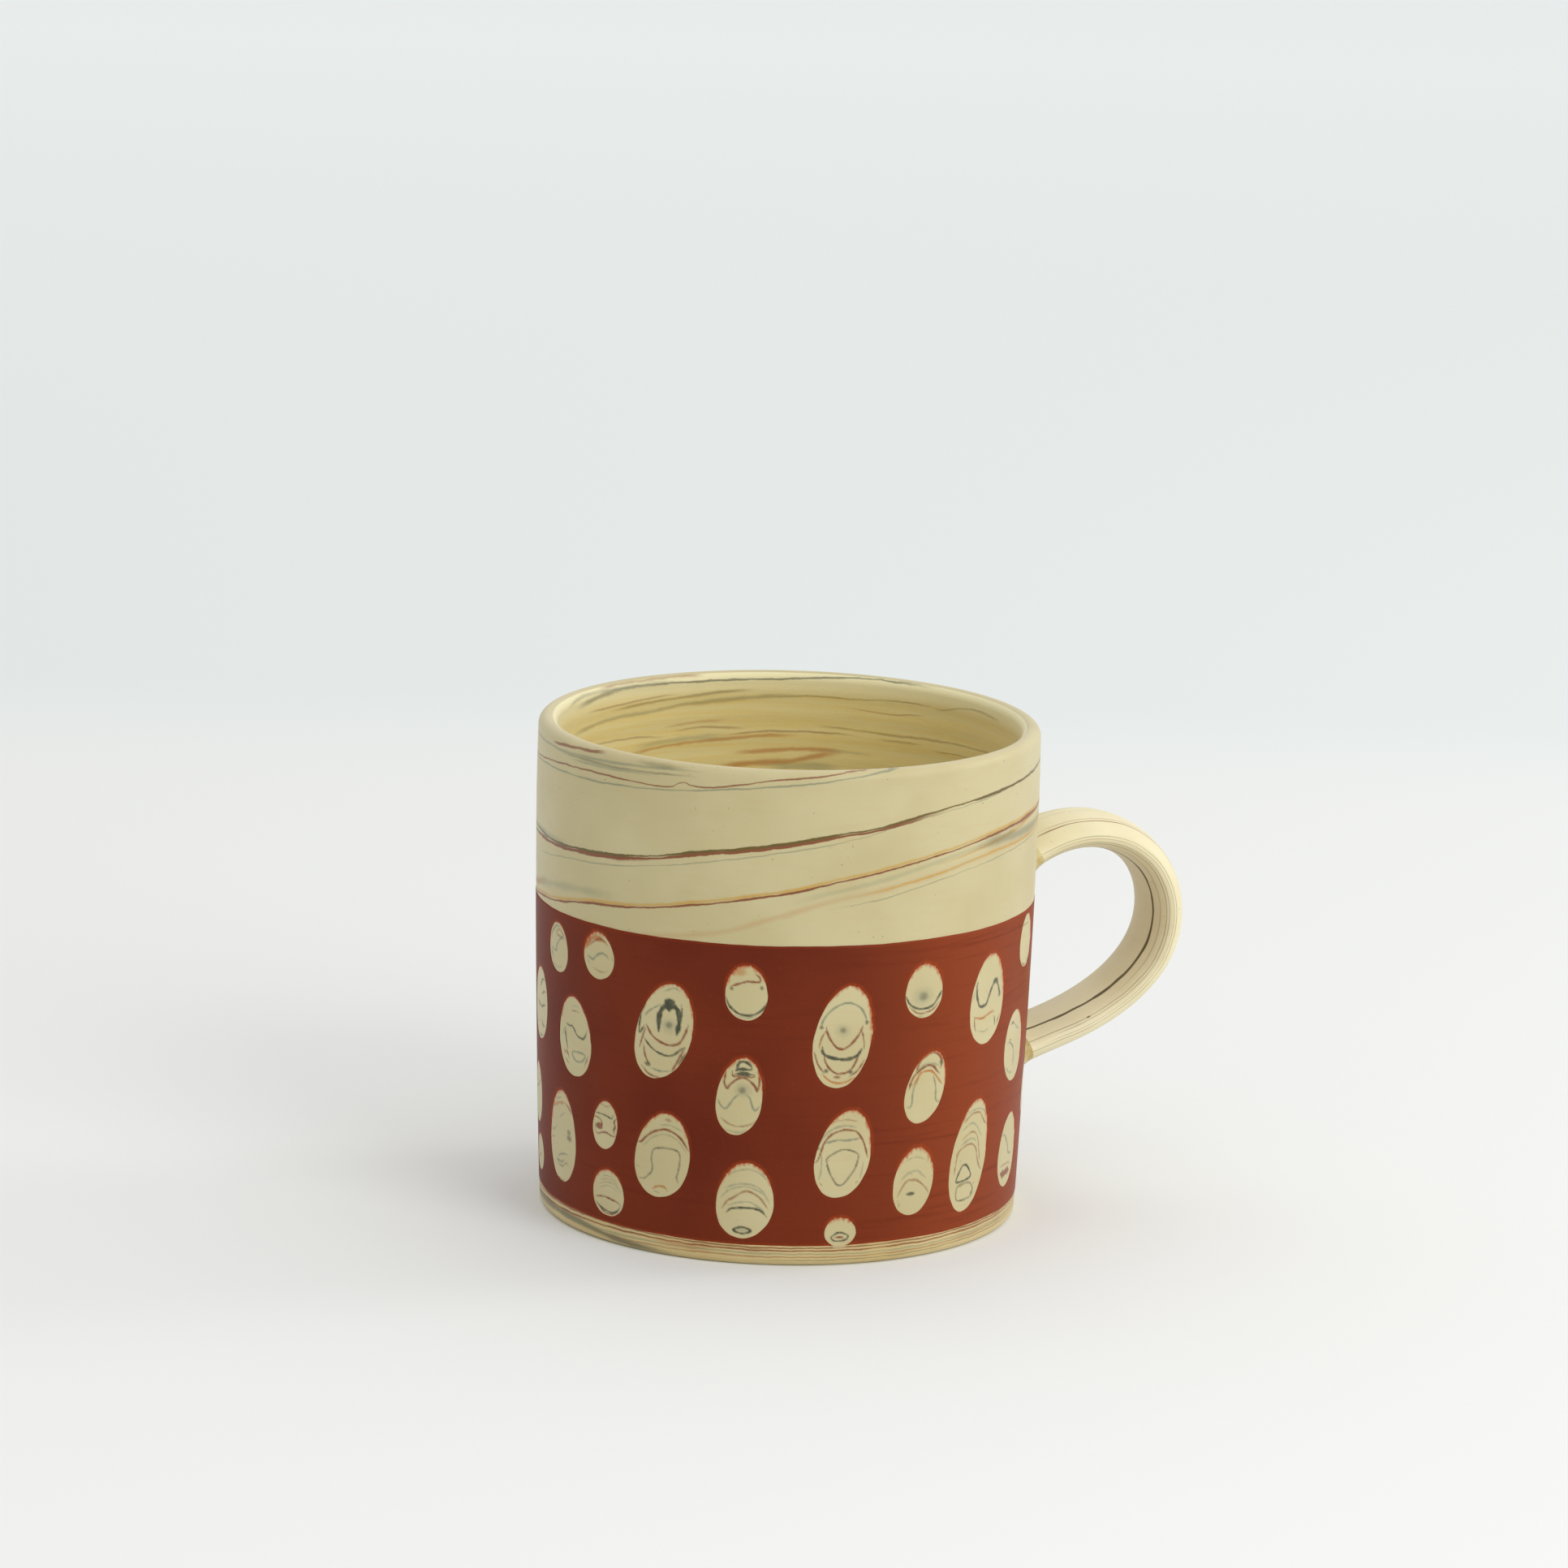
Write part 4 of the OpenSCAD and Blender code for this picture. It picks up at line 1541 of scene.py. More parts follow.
@dataclass(frozen=True)
class StrapFinish:
    """The handle's clay, veined along its length.

    A place round the section is in degrees: 0 is the outer face, 90 the edge towards -y, 180
    the inner face and 270 the edge towards +y.
    """

    clay: CreamClay
    lines: tuple[StrapLine, ...]
    perimeter: float = 42.0
    speck: Point = (2.88, 114.0)
    speck_size: Point = (0.013, 2.6)

    def build(self) -> Material:
        """Makes the material.

        Returns:
            The material.
        """
        shader = Shader("strap_clay")
        colour = self.clay.base(shader)
        way = shader.own("round_way")
        along = shader.own("along")
        wobble = shader.remap(shader.noise(shader.place(), 60, 3), 0.25, 0.75, -4.5, 4.5, False)
        way = shader.math("ADD", way, wobble)
        swell = shader.remap(shader.noise(shader.place(), 160, 2), 0.3, 0.7, 0.75, 1.2)
        for line in self.lines:
            gap = shader.math("ABSOLUTE", shader.math("SUBTRACT", way, line.round_way))
            half = line.width / 2 / self.perimeter * 360
            edge = shader.math("SUBTRACT", gap, shader.math("MULTIPLY", swell, half))
            mask = shader.remap(edge, -0.9, 0.9, line.strength, 0)
            rise = shader.remap(along, line.start - 0.2, line.start + 0.3)
            fall = shader.remap(along, line.end - 0.3, line.end + 0.2, 1, 0)
            mask = shader.math("MULTIPLY", mask, shader.math("MULTIPLY", rise, fall))
            colour = shader.mix(mask, colour, line.pigment.colour)
        return self.clay.finish(shader, self.specked(shader, colour))

    def specked(self, shader: Shader, colour: Socket) -> Socket:
        """Adds the one large iron speck near the lower root.

        Args:
            shader: The material.
            colour: The colour under it.

        Returns:
            The colour with the speck.
        """
        squares = []
        for name, middle, size in zip(("along", "round_way"), self.speck, self.speck_size):
            gap = shader.math("SUBTRACT", shader.own(name), middle)
            squares.append(shader.math("POWER", shader.math("DIVIDE", gap, size), 2.0))
        mask = shader.remap(shader.math("ADD", *squares), 0.4, 1.6, 0.85, 0)
        return shader.mix(mask, colour, tint(self.clay.speck))


@dataclass(frozen=True)
class LutingFinish:
    """The yellowish clay that the handle's roots are luted with."""

    clay: CreamClay
    light: str = "d0c088"
    dark: str = "b79d5e"

    def build(self) -> Material:
        """Makes the material.

        Returns:
            The material.
        """
        shader = Shader("luting_clay")
        cloud = shader.remap(shader.noise(shader.place(), 300, 3), 0.35, 0.65)
        colour = shader.mix(cloud, tint(self.light), tint(self.dark))
        return self.clay.finish(shader, colour)


@dataclass(frozen=True)
class PaperFinish:
    """The pale paper that the mug stands on, painted a little greyer behind it and lighter again far off:
    painted shade and painted light for the fall of light across the paper.

    Distances behind the mug are in metres, along the bearing that it is seen on.
    """

    near: str = "eaebe9"
    # Painted shade behind the mug, and painted light far off.
    behind: str = "e4e9e8"
    farthest: str = "f5f9f8"
    behind_from: float = 0.34
    behind_to: float = 0.46
    farthest_at: float = 1.8
    bearing: float = VIEW_BEARING

    def build(self) -> Material:
        """Makes the material.

        Returns:
            The material.
        """
        shader = Shader("pale_paper")
        x, y, _ = shader.split(shader.place())
        a = math.radians(self.bearing)
        sideways = shader.math("MULTIPLY", x, -math.sin(a))
        back = shader.math("ADD", sideways, shader.math("MULTIPLY", y, math.cos(a)))
        fibre = shader.noise(shader.place(), 400, 3)
        # Painted shade behind the mug, lightening again far off: painted light and shade on the paper.
        behind = shader.remap(back, self.behind_from, self.behind_to)
        beyond = shader.remap(back, self.behind_to, self.farthest_at, 0, 1, False)
        distance = shader.mix(beyond, tint(self.behind), tint(self.farthest))
        colour = shader.mix(behind, tint(self.near), distance)
        colour = shader.mix(shader.remap(fibre, 0.3, 0.7, 0, 0.06), colour, tint(self.behind))
        return shader.finish(colour, 0.9, Specular_IOR_Level=0.1)


# ---------------------------------------------------------------------------------------------
# Pieces


@dataclass
class MugWall:
    """The thrown wall, lip, heel and floor, turned from one profile."""

    curve: WallCurve
    height: float = 90.0
    thickness: float = 3.4
    floor: float = 4.5
    heel: float = 1.4
    corner: float = 5.0
    step: float = 0.8
    sides: int = 300
    ring_depth: float = 0.06
    ring_pitch: float = 4.2
    flat_rings: int = 24

    def profile(self) -> tuple[Array, Array]:
        """The closed section from the middle of the base round to the middle of the floor.

        Returns:
            Points (radius, height), and 1 for those that face inwards.
        """
        lip = self.thickness / 2
        top = self.height - lip
        low = self.floor + self.corner
        points: list[Point] = []
        for radius in np.linspace(0, self.curve.radius(self.heel) - self.heel, self.flat_rings):
            points.append((float(radius), 0.0))
        points += self.arc(self.curve.radius(self.heel) - self.heel, self.heel, self.heel, -90, 0)
        points += self.rise(self.heel + 0.6, top - 0.4, 0.0)
        points += self.arc(self.curve.radius(top) - lip, top, lip, 0, 180)
        outside = len(points)
        points += self.rise(low + 0.4, top - 0.4, self.thickness)[::-1]
        centre = self.curve.radius(low) - self.thickness - self.corner
        points += self.arc(centre, low, self.corner, 0, -90)
        for radius in np.linspace(centre, 0, self.flat_rings)[1:]:
            points.append((float(radius), self.floor))
        within = np.arange(len(points)) >= outside
        fade = smoothstep(low, low + 8, np.array([p[1] for p in points]))
        return np.array(points), within * fade

    def rise(self, low: float, high: float, inset: float) -> list[Point]:
        """Points up the wall's curve.

        Args:
            low: The lowest height.
            high: The highest height.
            inset: How far inside the outer surface.

        Returns:
            The points, from the lowest up.
        """
        heights = np.linspace(low, high, int((high - low) / self.step))
        return [(self.curve.radius(z) - inset, float(z)) for z in heights]

    @staticmethod
    def arc(centre: float, height: float, radius: float, start: float, end: float) -> list[Point]:
        """Points round an arc of the section.

        Args:
            centre: The arc's middle, from the axis.
            height: The arc's middle, above the base.
            radius: Its radius.
            start: Its first angle.
            end: Its last angle.

        Returns:
            The points in order.
        """
        angles = np.radians(np.linspace(start, end, 3 + int(abs(end - start) / 10)))
        return [
            (centre + radius * math.cos(a), height + radius * math.sin(a)) for a in angles
        ]

    def build(self, finish: Material) -> Piece:
        """Makes the wall.

        Args:
            finish: Its material.

        Returns:
            The piece.
        """
        points, within = self.profile()
        places = np.column_stack([points[:, 0], np.zeros(len(points)), points[:, 1]]) * MM
        mesh = feed_mesh("wall_profile", places, inside=within)
        piece = turned_form().run(
            "mug_wall",
            mesh,
            finish,
            Sides=self.sides,
            Ring_Depth=self.ring_depth * MM,
            Ring_Pitch=self.ring_pitch * MM,
        )
        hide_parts("body")
        return dress(piece, "cream_clay")


@dataclass
class SlipBand:
    """The red slip band with its windows."""

    curve: WallCurve
    pattern: Pattern
    bottom: float = 4.4
    top: float = 58.3
    stand: float = 0.06
    thickness: float = 0.36
    seam: float = 162.0
    grid: float = 1.3
    edge_step: float = 0.32
    wave: float = 0.6
    low_crest: float = -113.0
    high_crest: float = 120.0
    edge_points: int = 900
    seam_points: int = 40
    ring_gaps: Point = (0.28, 0.7)
    row_gaps: Point = (0.25, 0.55)
    clear: float = 1.1

    def height_at(self, arc: Array, level: float, crest: float, seed: int) -> Array:
        """The height of the band's edge, which rises and falls once round the wall.

        Args:
            arc: Places round the wall.
            level: The edge's own height.
            crest: The turn where it is highest.
            seed: Which fine wander.

        Returns:
            The heights.
        """
        turn = arc / self.curve.arc_radius
        fine = wander(turn, seed, 0.5)
        return level + self.wave * np.cos(turn - math.radians(crest)) + 0.05 * fine

    def edges(self) -> tuple[Array, Array, Array]:
        """The band laid flat, opened at its seam.

        Returns:
            The lower edge, the upper edge and the whole outline.
        """
        left, right = self.curve.arc(self.seam - 360), self.curve.arc(self.seam)
        run = np.linspace(left, right, self.edge_points)
        low = np.column_stack([run, self.height_at(run, self.bottom, self.low_crest, 5)])
        high = np.column_stack([run, self.height_at(run, self.top, self.high_crest, 6)])
        low[-1, 1], high[-1, 1] = low[0, 1], high[0, 1]
        rise = np.linspace(low[0, 1], high[0, 1], self.seam_points)[1:-1]
        right_side = np.column_stack([np.full(len(rise), right), rise])
        left_side = np.column_stack([np.full(len(rise), left), rise[::-1]])
        return low, high, np.vstack([low, right_side, high[::-1], left_side])

    def loose_points(self, low: Array, high: Array, border: Array, holes: list[Array]) -> Array:
        """Points inside the band: an open grid, and close rows along every edge.

        Args:
            low: The band's lower edge.
            high: Its upper edge.
            border: Its whole outline.
            holes: The windows' outlines.

        Returns:
            The points.
        """
        xs = np.arange(low[0, 0] + self.grid / 2, low[-1, 0], self.grid)
        ys = np.arange(self.bottom, self.top + 2, self.grid)
        inner = np.stack(np.meshgrid(xs, ys), axis=-1).reshape(-1, 2)
        ringed = [self.ring(hole, gap) for hole in holes for gap in self.ring_gaps]
        away = reach(inner, border, self.grid)
        for hole in holes:
            away = np.minimum(away, reach(inner, hole, self.grid))
        rows = [low[::3] + (0, gap) for gap in self.row_gaps]
        rows += [high[::3] - (0, gap) for gap in self.row_gaps]
        inner = np.vstack([inner[away > self.clear], *ringed, *rows])
        return inner[inside(inner, border)]

    def glow(self, spots: Array, low: Array, high: Array, holes: list[Array]) -> Array:
        """How far the slip has thinned to orange, close to its edges and its windows.

        Args:
            spots: The band's points.
            low: The band's lower edge.
            high: Its upper edge.
            holes: The windows' outlines.

        Returns:
            A strength from 0 to 1 for each spot.
        """
        glow = np.zeros(len(spots))
        for hole, window in zip(holes, self.pattern.windows()):
            gap = reach(spots, hole, 0.8)
            away = spots - hole.mean(axis=0)
            facing = np.cos(np.arctan2(away[:, 1], away[:, 0]) - math.radians(window.fringe_from))
            share = (0.1 + 0.9 * smoothstep(0.0, 0.9, facing)) * (0.4 + 0.5 * window.fringe)
            glow = np.maximum(glow, share * (1 - smoothstep(0.05, 0.6, gap)) * (gap < 0.8))
        for line, width, share in ((low, 0.5, 0.75), (high, 0.4, 0.3)):
            gap = np.abs(spots[:, 1] - np.interp(spots[:, 0], line[:, 0], line[:, 1]))
            glow = np.maximum(glow, share * (1 - smoothstep(0.05, width, gap)))
        return glow

    def build(self, finish: Material, wrap: Form) -> Piece:
        """Makes the band.

        Args:
            finish: Its material.
            wrap: The form that lays it round the wall.

        Returns:
            The piece.
        """
        low, high, border = self.edges()
        holes = []
        for seed, window in enumerate(self.pattern.windows()):
            place = np.array([self.curve.arc(window.turn), window.height])
            holes.append(window.outline(100 + seed * 3, 0.0, self.edge_step) + place)

        def keep(centres: Array) -> Array:
            """Which places are slip: inside the band and in no window."""
            kept = inside(centres, border)
            for hole in holes:
                kept &= ~inside(centres, hole)
            return kept

        plate = FlatPlate(self.stand, self.stand - self.thickness)
        loose = self.loose_points(low, high, border, holes)
        spots = plate.add([border, *holes], loose, keep)
        mesh = plate.mesh("flat_band", edge_glow=self.glow(spots, low, high, holes))
        piece = wrap.run("slip_band", mesh, finish)
        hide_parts("red_slip_band")
        return dress(piece, "red_slip")

    @staticmethod
    def ring(loop: Array, gap: float) -> Array:
        """Points a little outside a loop.

        Args:
            loop: The loop, anticlockwise.
            gap: How far outside.

        Returns:
            Every second point, moved out.
        """
        run = np.roll(loop, -1, axis=0) - np.roll(loop, 1, axis=0)
        out = np.column_stack([run[:, 1], -run[:, 0]])
        out /= np.hypot(out[:, 0], out[:, 1])[:, None]
        return (loop + out * gap)[::2]


@dataclass
class WindowClay:
    """The veined clay that shows through the windows."""

    curve: WallCurve
    pattern: Pattern
    stand: float = 0.03
    thickness: float = 0.3
    margin: float = 0.4
    fine: float = 0.2
    coarse: float = 0.8

    def build(self, finish: Material, wrap: Form) -> Piece:
        """Makes the clay of every window.

        Args:
            finish: Its material.
            wrap: The form that lays it round the wall.

        Returns:
            The piece.
        """
        plate = FlatPlate(self.stand, self.stand - self.thickness, plain_back=True)
        stains: dict[str, list[Array]] = {p.value: [] for p in Pigment}
        stains["slip_haze"] = []
        for seed, window in enumerate(self.pattern.windows()):
            place = np.array([self.curve.arc(window.turn), window.height])
            edge = window.outline(100 + seed * 3, self.margin, 0.45)
            crisp = window.outline(100 + seed * 3, 0.0, 0.32)
            inner = self.grid(window, edge, crisp, seed)
            spots = plate.add([edge + place], inner + place, partial(inside, loop=edge + place))
            here = spots - place
            for key, values in self.stain(window, here, crisp, seed).items():
                stains[key].append(values)
        numbers = {key: np.concatenate(values) for key, values in stains.items()}
        mesh = plate.mesh("flat_windows", **numbers)
        piece = wrap.run("window_clay", mesh, finish)
        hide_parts("body")
        return dress(piece, "cream_clay")

    def grid(self, window: Window, edge: Array, crisp: Array, seed: int) -> Array:
        """Loose points, close together where a mark or the fringe is.

        Args:
            window: The window.
            edge: The outline of its clay.
            crisp: The window's own outline.
            seed: Which wobbles its marks have.

        Returns:
            The points.
        """
        low, high = edge.min(axis=0), edge.max(axis=0)
        xs = np.arange(low[0], high[0], self.fine)
        ys = np.arange(low[1], high[1], self.fine)
        grid = np.stack(np.meshgrid(xs, ys), axis=-1)
        marks = np.zeros(grid.shape[:2])
        for values in self.stain(window, grid.reshape(-1, 2), crisp, seed).values():
            marks = np.maximum(marks, values.reshape(marks.shape))
        busy = marks > 0.03
        for axis in (0, 1):
            busy = busy | np.roll(busy, 1, axis) | np.roll(busy, -1, axis)
        skip = int(self.coarse / self.fine)
        busy[::skip, ::skip] = True
        points = grid[busy]
        clear = inside(points, edge)
        points = points[clear]
        return points[reach(points, edge, 0.5) > 0.12]

    def stain(self, window: Window, spots: Array, crisp: Array, seed: int) -> dict[str, Array]:
        """Every stain's strength at these spots.

        Args:
            window: The window.
            spots: Places from the window's centre.
            crisp: The window's own outline.
            seed: Which wobbles its marks have.

        Returns:
            A strength for each spot, by attribute name.
        """
        found = {p.value: np.zeros(len(spots)) for p in Pigment}
        seen = spots * np.array([-1.0 if window.mirror else 1.0, 1.0])
        for number, mark in enumerate(window.marks):
            key = mark.pigment.value
            found[key] = np.maximum(found[key], mark.mask(seen, 1000 + seed * 40 + number * 2))
        gap = reach(spots, crisp, 3.0) * np.where(inside(spots, crisp), 1.0, -1.0)
        away = spots - np.array(window.middle)
        angle = np.arctan2(away[:, 1], away[:, 0])
        facing = smoothstep(0.1, 0.95, np.cos(angle - math.radians(window.fringe_from)))
        deep = 0.08 + facing * window.fringe * (
            0.65 + 0.35 * wander(angle * 6, seed, 2.9) + 0.4 * wander(spots[:, 0], seed, 0.9)
        )
        haze = 1 - smoothstep(0.0, 1.0, gap / np.maximum(deep, 0.08))
        found["slip_haze"] = haze * (0.2 + 0.75 * facing)
        return found


@dataclass
class Strap:
    """The pulled strap handle and the path that its lutings share."""

    curve: WallCurve
    thickness: float = 6.9
    width: float = 17.0
    root_swell: float = 0.12
    swell_length: float = 0.9
    inner_flat: float = 0.12
    luting_edge: float = 0.02
    luting_spread: float = 1.8
    luting_length: float = 0.34
    bury: float = 1.7
    sides: int = 72
    beziers: tuple[tuple[Point, Point, Point, Point], ...] = (
        ((42, 61.5), (46, 64), (51, 66.9), (57, 66.9)),
        ((57, 66.9), (66, 66.9), (73.2, 60), (73.2, 51)),
        ((73.2, 51), (73.2, 41), (64, 34.3), (54, 30.5)),
        ((54, 30.5), (50, 29), (46, 27.8), (41, 26.2)),
    )

    def path(self, along: Array) -> tuple[Array, Array]:
        """The strap's centre line.

        Args:
            along: Where, from 0 at the upper root to 4 at the lower one.

        Returns:
            Points (radius, height), and the unit heading at each.
        """
        piece = np.clip(along.astype(int), 0, len(self.beziers) - 1)
        t = (along - piece)[:, None]
        a, b, c, d = np.array(self.beziers, float)[piece].transpose(1, 0, 2)
        spots = (1 - t) ** 3 * a + 3 * (1 - t) ** 2 * t * b + 3 * (1 - t) * t**2 * c + t**3 * d
        slope = (1 - t) ** 2 * (b - a) + 2 * (1 - t) * t * (c - b) + t**2 * (d - c)
        return spots, slope / np.hypot(slope[:, 0], slope[:, 1])[:, None]

    def sweep(
        self,
        name: str,
        start: float,
        end: float,
        extra: Callable[[Array], Array],
        finish: Material,
        form: Form,
    ) -> Piece:
        """Sweeps the section along a stretch of the path.

        Args:
            name: The piece's name.
            start: Where the stretch starts.
            end: Where it ends.
            extra: How much thicker the section is, from the distance to the nearer root.
            finish: The material.
            form: The form that sweeps.

        Returns:
            The piece.
        """
        along = np.linspace(start, end, 2 + int(abs(end - start) * 45))
        spots, heading = self.path(along)
        root = np.minimum(along, len(self.beziers) - along)
        swell = 1 + self.root_swell * np.maximum(0, 1 - root / self.swell_length) ** 2
        more = extra(root)
        half_depth = self.thickness / 2 * swell + more
        half_width = self.width / 2 * swell + more
        order = np.concatenate([[0], np.arange(len(along)), [len(along) - 1]])
        closed = np.ones(len(order))
        closed[[0, -1]] = 0.0
        level = np.zeros(len(order))
        mesh = feed_mesh(
            f"{name}_path",
            np.column_stack([spots[order, 0], level, spots[order, 1]]) * MM,
            along=along[order],
            half_depth=half_depth[order] * closed * MM,
            half_width=half_width[order] * closed * MM,
            heading=np.column_stack([heading[order, 0], level, heading[order, 1]]),
        )
        return form.run(
            name,
            mesh,
            finish,
            Sides=self.sides,
            Inner_Flat=self.inner_flat,
            Bury=self.bury * MM,
        )

    def build(self, strap: Material, luting: Material) -> list[Piece]:
        """Makes the handle and the two lutings.

        Args:
            strap: The handle's material.
            luting: The lutings' material.

        Returns:
            The three pieces.
        """
        form = swept_form(self.curve)
        last = float(len(self.beziers))

        def spread(root: Array) -> Array:
            """How far the luting stands out, from the distance to its root."""
            share = np.maximum(0, 1 - root / self.luting_length)
            return self.luting_edge + self.luting_spread * share**1.6

        handle = self.sweep("strap_handle", 0, last, np.zeros_like, strap, form)
        upper = self.sweep("upper_luting_collar", 0, self.luting_length, spread, luting, form)
        lower = self.sweep(
            "lower_luting_collar", last - self.luting_length, last, spread, luting, form
        )
        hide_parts("handle")
        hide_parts("upper_luting")
        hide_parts("lower_luting")
        dress(handle, "handle_clay")
        dress(upper, "luting_clay")
        dress(lower, "luting_clay")
        return [handle, upper, lower]


def dress(piece: Piece, slot: str) -> Piece:
    """Fastens a piece to the mug and logs its triangle count.

    Args:
        piece: The piece.
        slot: Not used.

    Returns:
        The piece.
    """
    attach(piece, "root")
    LOG.info("%s: %d triangles", piece.name, sum(len(p.vertices) - 2 for p in piece.data.polygons))
    return piece


# ---------------------------------------------------------------------------------------------
# The studio


def toward(bearing: float, elevation: float) -> Vector:
    """The direction of a bearing and an elevation in degrees, 0 being straight in front."""
    a, e = math.radians(bearing), math.radians(elevation)
    return Vector((math.sin(a) * math.cos(e), -math.cos(a) * math.cos(e), math.sin(e)))


@dataclass(frozen=True)
class SoftBox:
    """One large soft light, placed round the mug and aimed at it."""

    name: str
    bearing: float
    elevation: float
    distance: float
    size: float
    power: float

    def build(self) -> Piece:
        """Makes the light.

        Returns:
            The light.
        """
        lamp = bpy.data.lights.new(self.name, "AREA")
        lamp.shape = "DISK"
        lamp.size = self.size
        lamp.energy = self.power
        light = bpy.data.objects.new(self.name, lamp)
        bpy.context.scene.collection.objects.link(light)
        back = toward(self.bearing, self.elevation)
        light.location = Vector((0, 0, 0.045)) + back * self.distance
        light.rotation_euler = back.to_track_quat("Z", "Y").to_euler()
        return light


@dataclass(frozen=True)
class SkyGlow:
    """A soft extra brightness of the room, strongest in one direction."""

    bearing: float
    elevation: float
    strength: float


@dataclass(frozen=True)
class Studio:
    """The paper, the lights, the sky and the camera."""

    bearing: float = VIEW_BEARING
    camera_distance: float = 1286.7
    camera_height: float = 359.9
    aim: tuple[float, float, float] = (-0.709, 0.258, 77.9)
    roll: float = 1.6
    view_angle: float = 12.26
    film: float = 36.0
    paper_size: float = 6000.0
    even: float = 0.44
    sky: tuple[SkyGlow, ...] = (SkyGlow(-20, 90, 0.5), SkyGlow(75, 5, 0.16), SkyGlow(160, 0, 0.28))
    lights: tuple[SoftBox, ...] = (
        SoftBox("key_softbox", 22, 30, 1.4, 0.8, 6.0),
        SoftBox("side_softbox", 88, 26, 1.2, 0.4, 2.0),
    )

    def build(self, paper: Material) -> None:
        """Sets up everything round the mug.

        Args:
            paper: The floor's material.
        """
        self.floor(paper)
        for item in self.lights:
            item.build()
        self.room()
        self.camera()
        bpy.context.scene.view_settings.view_transform = "Standard"

    def floor(self, paper: Material) -> None:
        """Lays the paper."""
        half = self.paper_size / 2 * MM
        mesh = bpy.data.meshes.new("paper")
        corners = [(-half, -half, 0), (half, -half, 0), (half, half, 0), (-half, half, 0)]
        mesh.from_pydata(corners, [], [(0, 1, 2, 3)])
        mesh.materials.append(paper)
        floor = bpy.data.objects.new("paper", mesh)
        bpy.context.scene.collection.objects.link(floor)

    def room(self) -> None:
        """Makes a pale room that is brighter in some directions than in others."""
        world = bpy.data.worlds.new("pale_room")
        world.use_nodes = True
        graph = Graph(world.node_tree)
        ground = world.node_tree.nodes["Background"]
        way = graph.add("ShaderNodeTexCoord").outputs["Generated"]
        total: object = self.even
        for glow in self.sky:
            towards = graph.add("ShaderNodeVectorMath", operation="DOT_PRODUCT")
            graph.feed(towards.inputs[0], way)
            towards.inputs[1].default_value = toward(glow.bearing, glow.elevation)
            facing = graph.math("MAXIMUM", towards.outputs["Value"], 0.0)
            total = graph.math("ADD", total, graph.math("MULTIPLY", facing, glow.strength))
        ground.inputs["Color"].default_value = (1.0, 1.0, 1.0, 1.0)
        graph.feed(ground.inputs["Strength"], total)
        bpy.context.scene.world = world

    def camera(self) -> None:
        """Places the camera at the mug's own viewing angle."""
        lens = bpy.data.cameras.new("studio_camera")
        lens.sensor_width = self.film
        lens.lens = self.film / 2 / math.tan(math.radians(self.view_angle / 2))
        lens.clip_start, lens.clip_end = 0.05, 50
        eye = bpy.data.objects.new("studio_camera", lens)
        bpy.context.scene.collection.objects.link(eye)
        a = math.radians(self.bearing)
        place = Vector((math.sin(a), -math.cos(a), 0)) * self.camera_distance
        place.z = self.camera_height
        eye.location = place * MM
        look = Vector(self.aim) - place
        turned = look.to_track_quat("-Z", "Y").to_matrix() @ Matrix.Rotation(
            math.radians(self.roll), 3, "Z"
        )
        eye.rotation_euler = turned.to_euler()
        bpy.context.scene.camera = eye


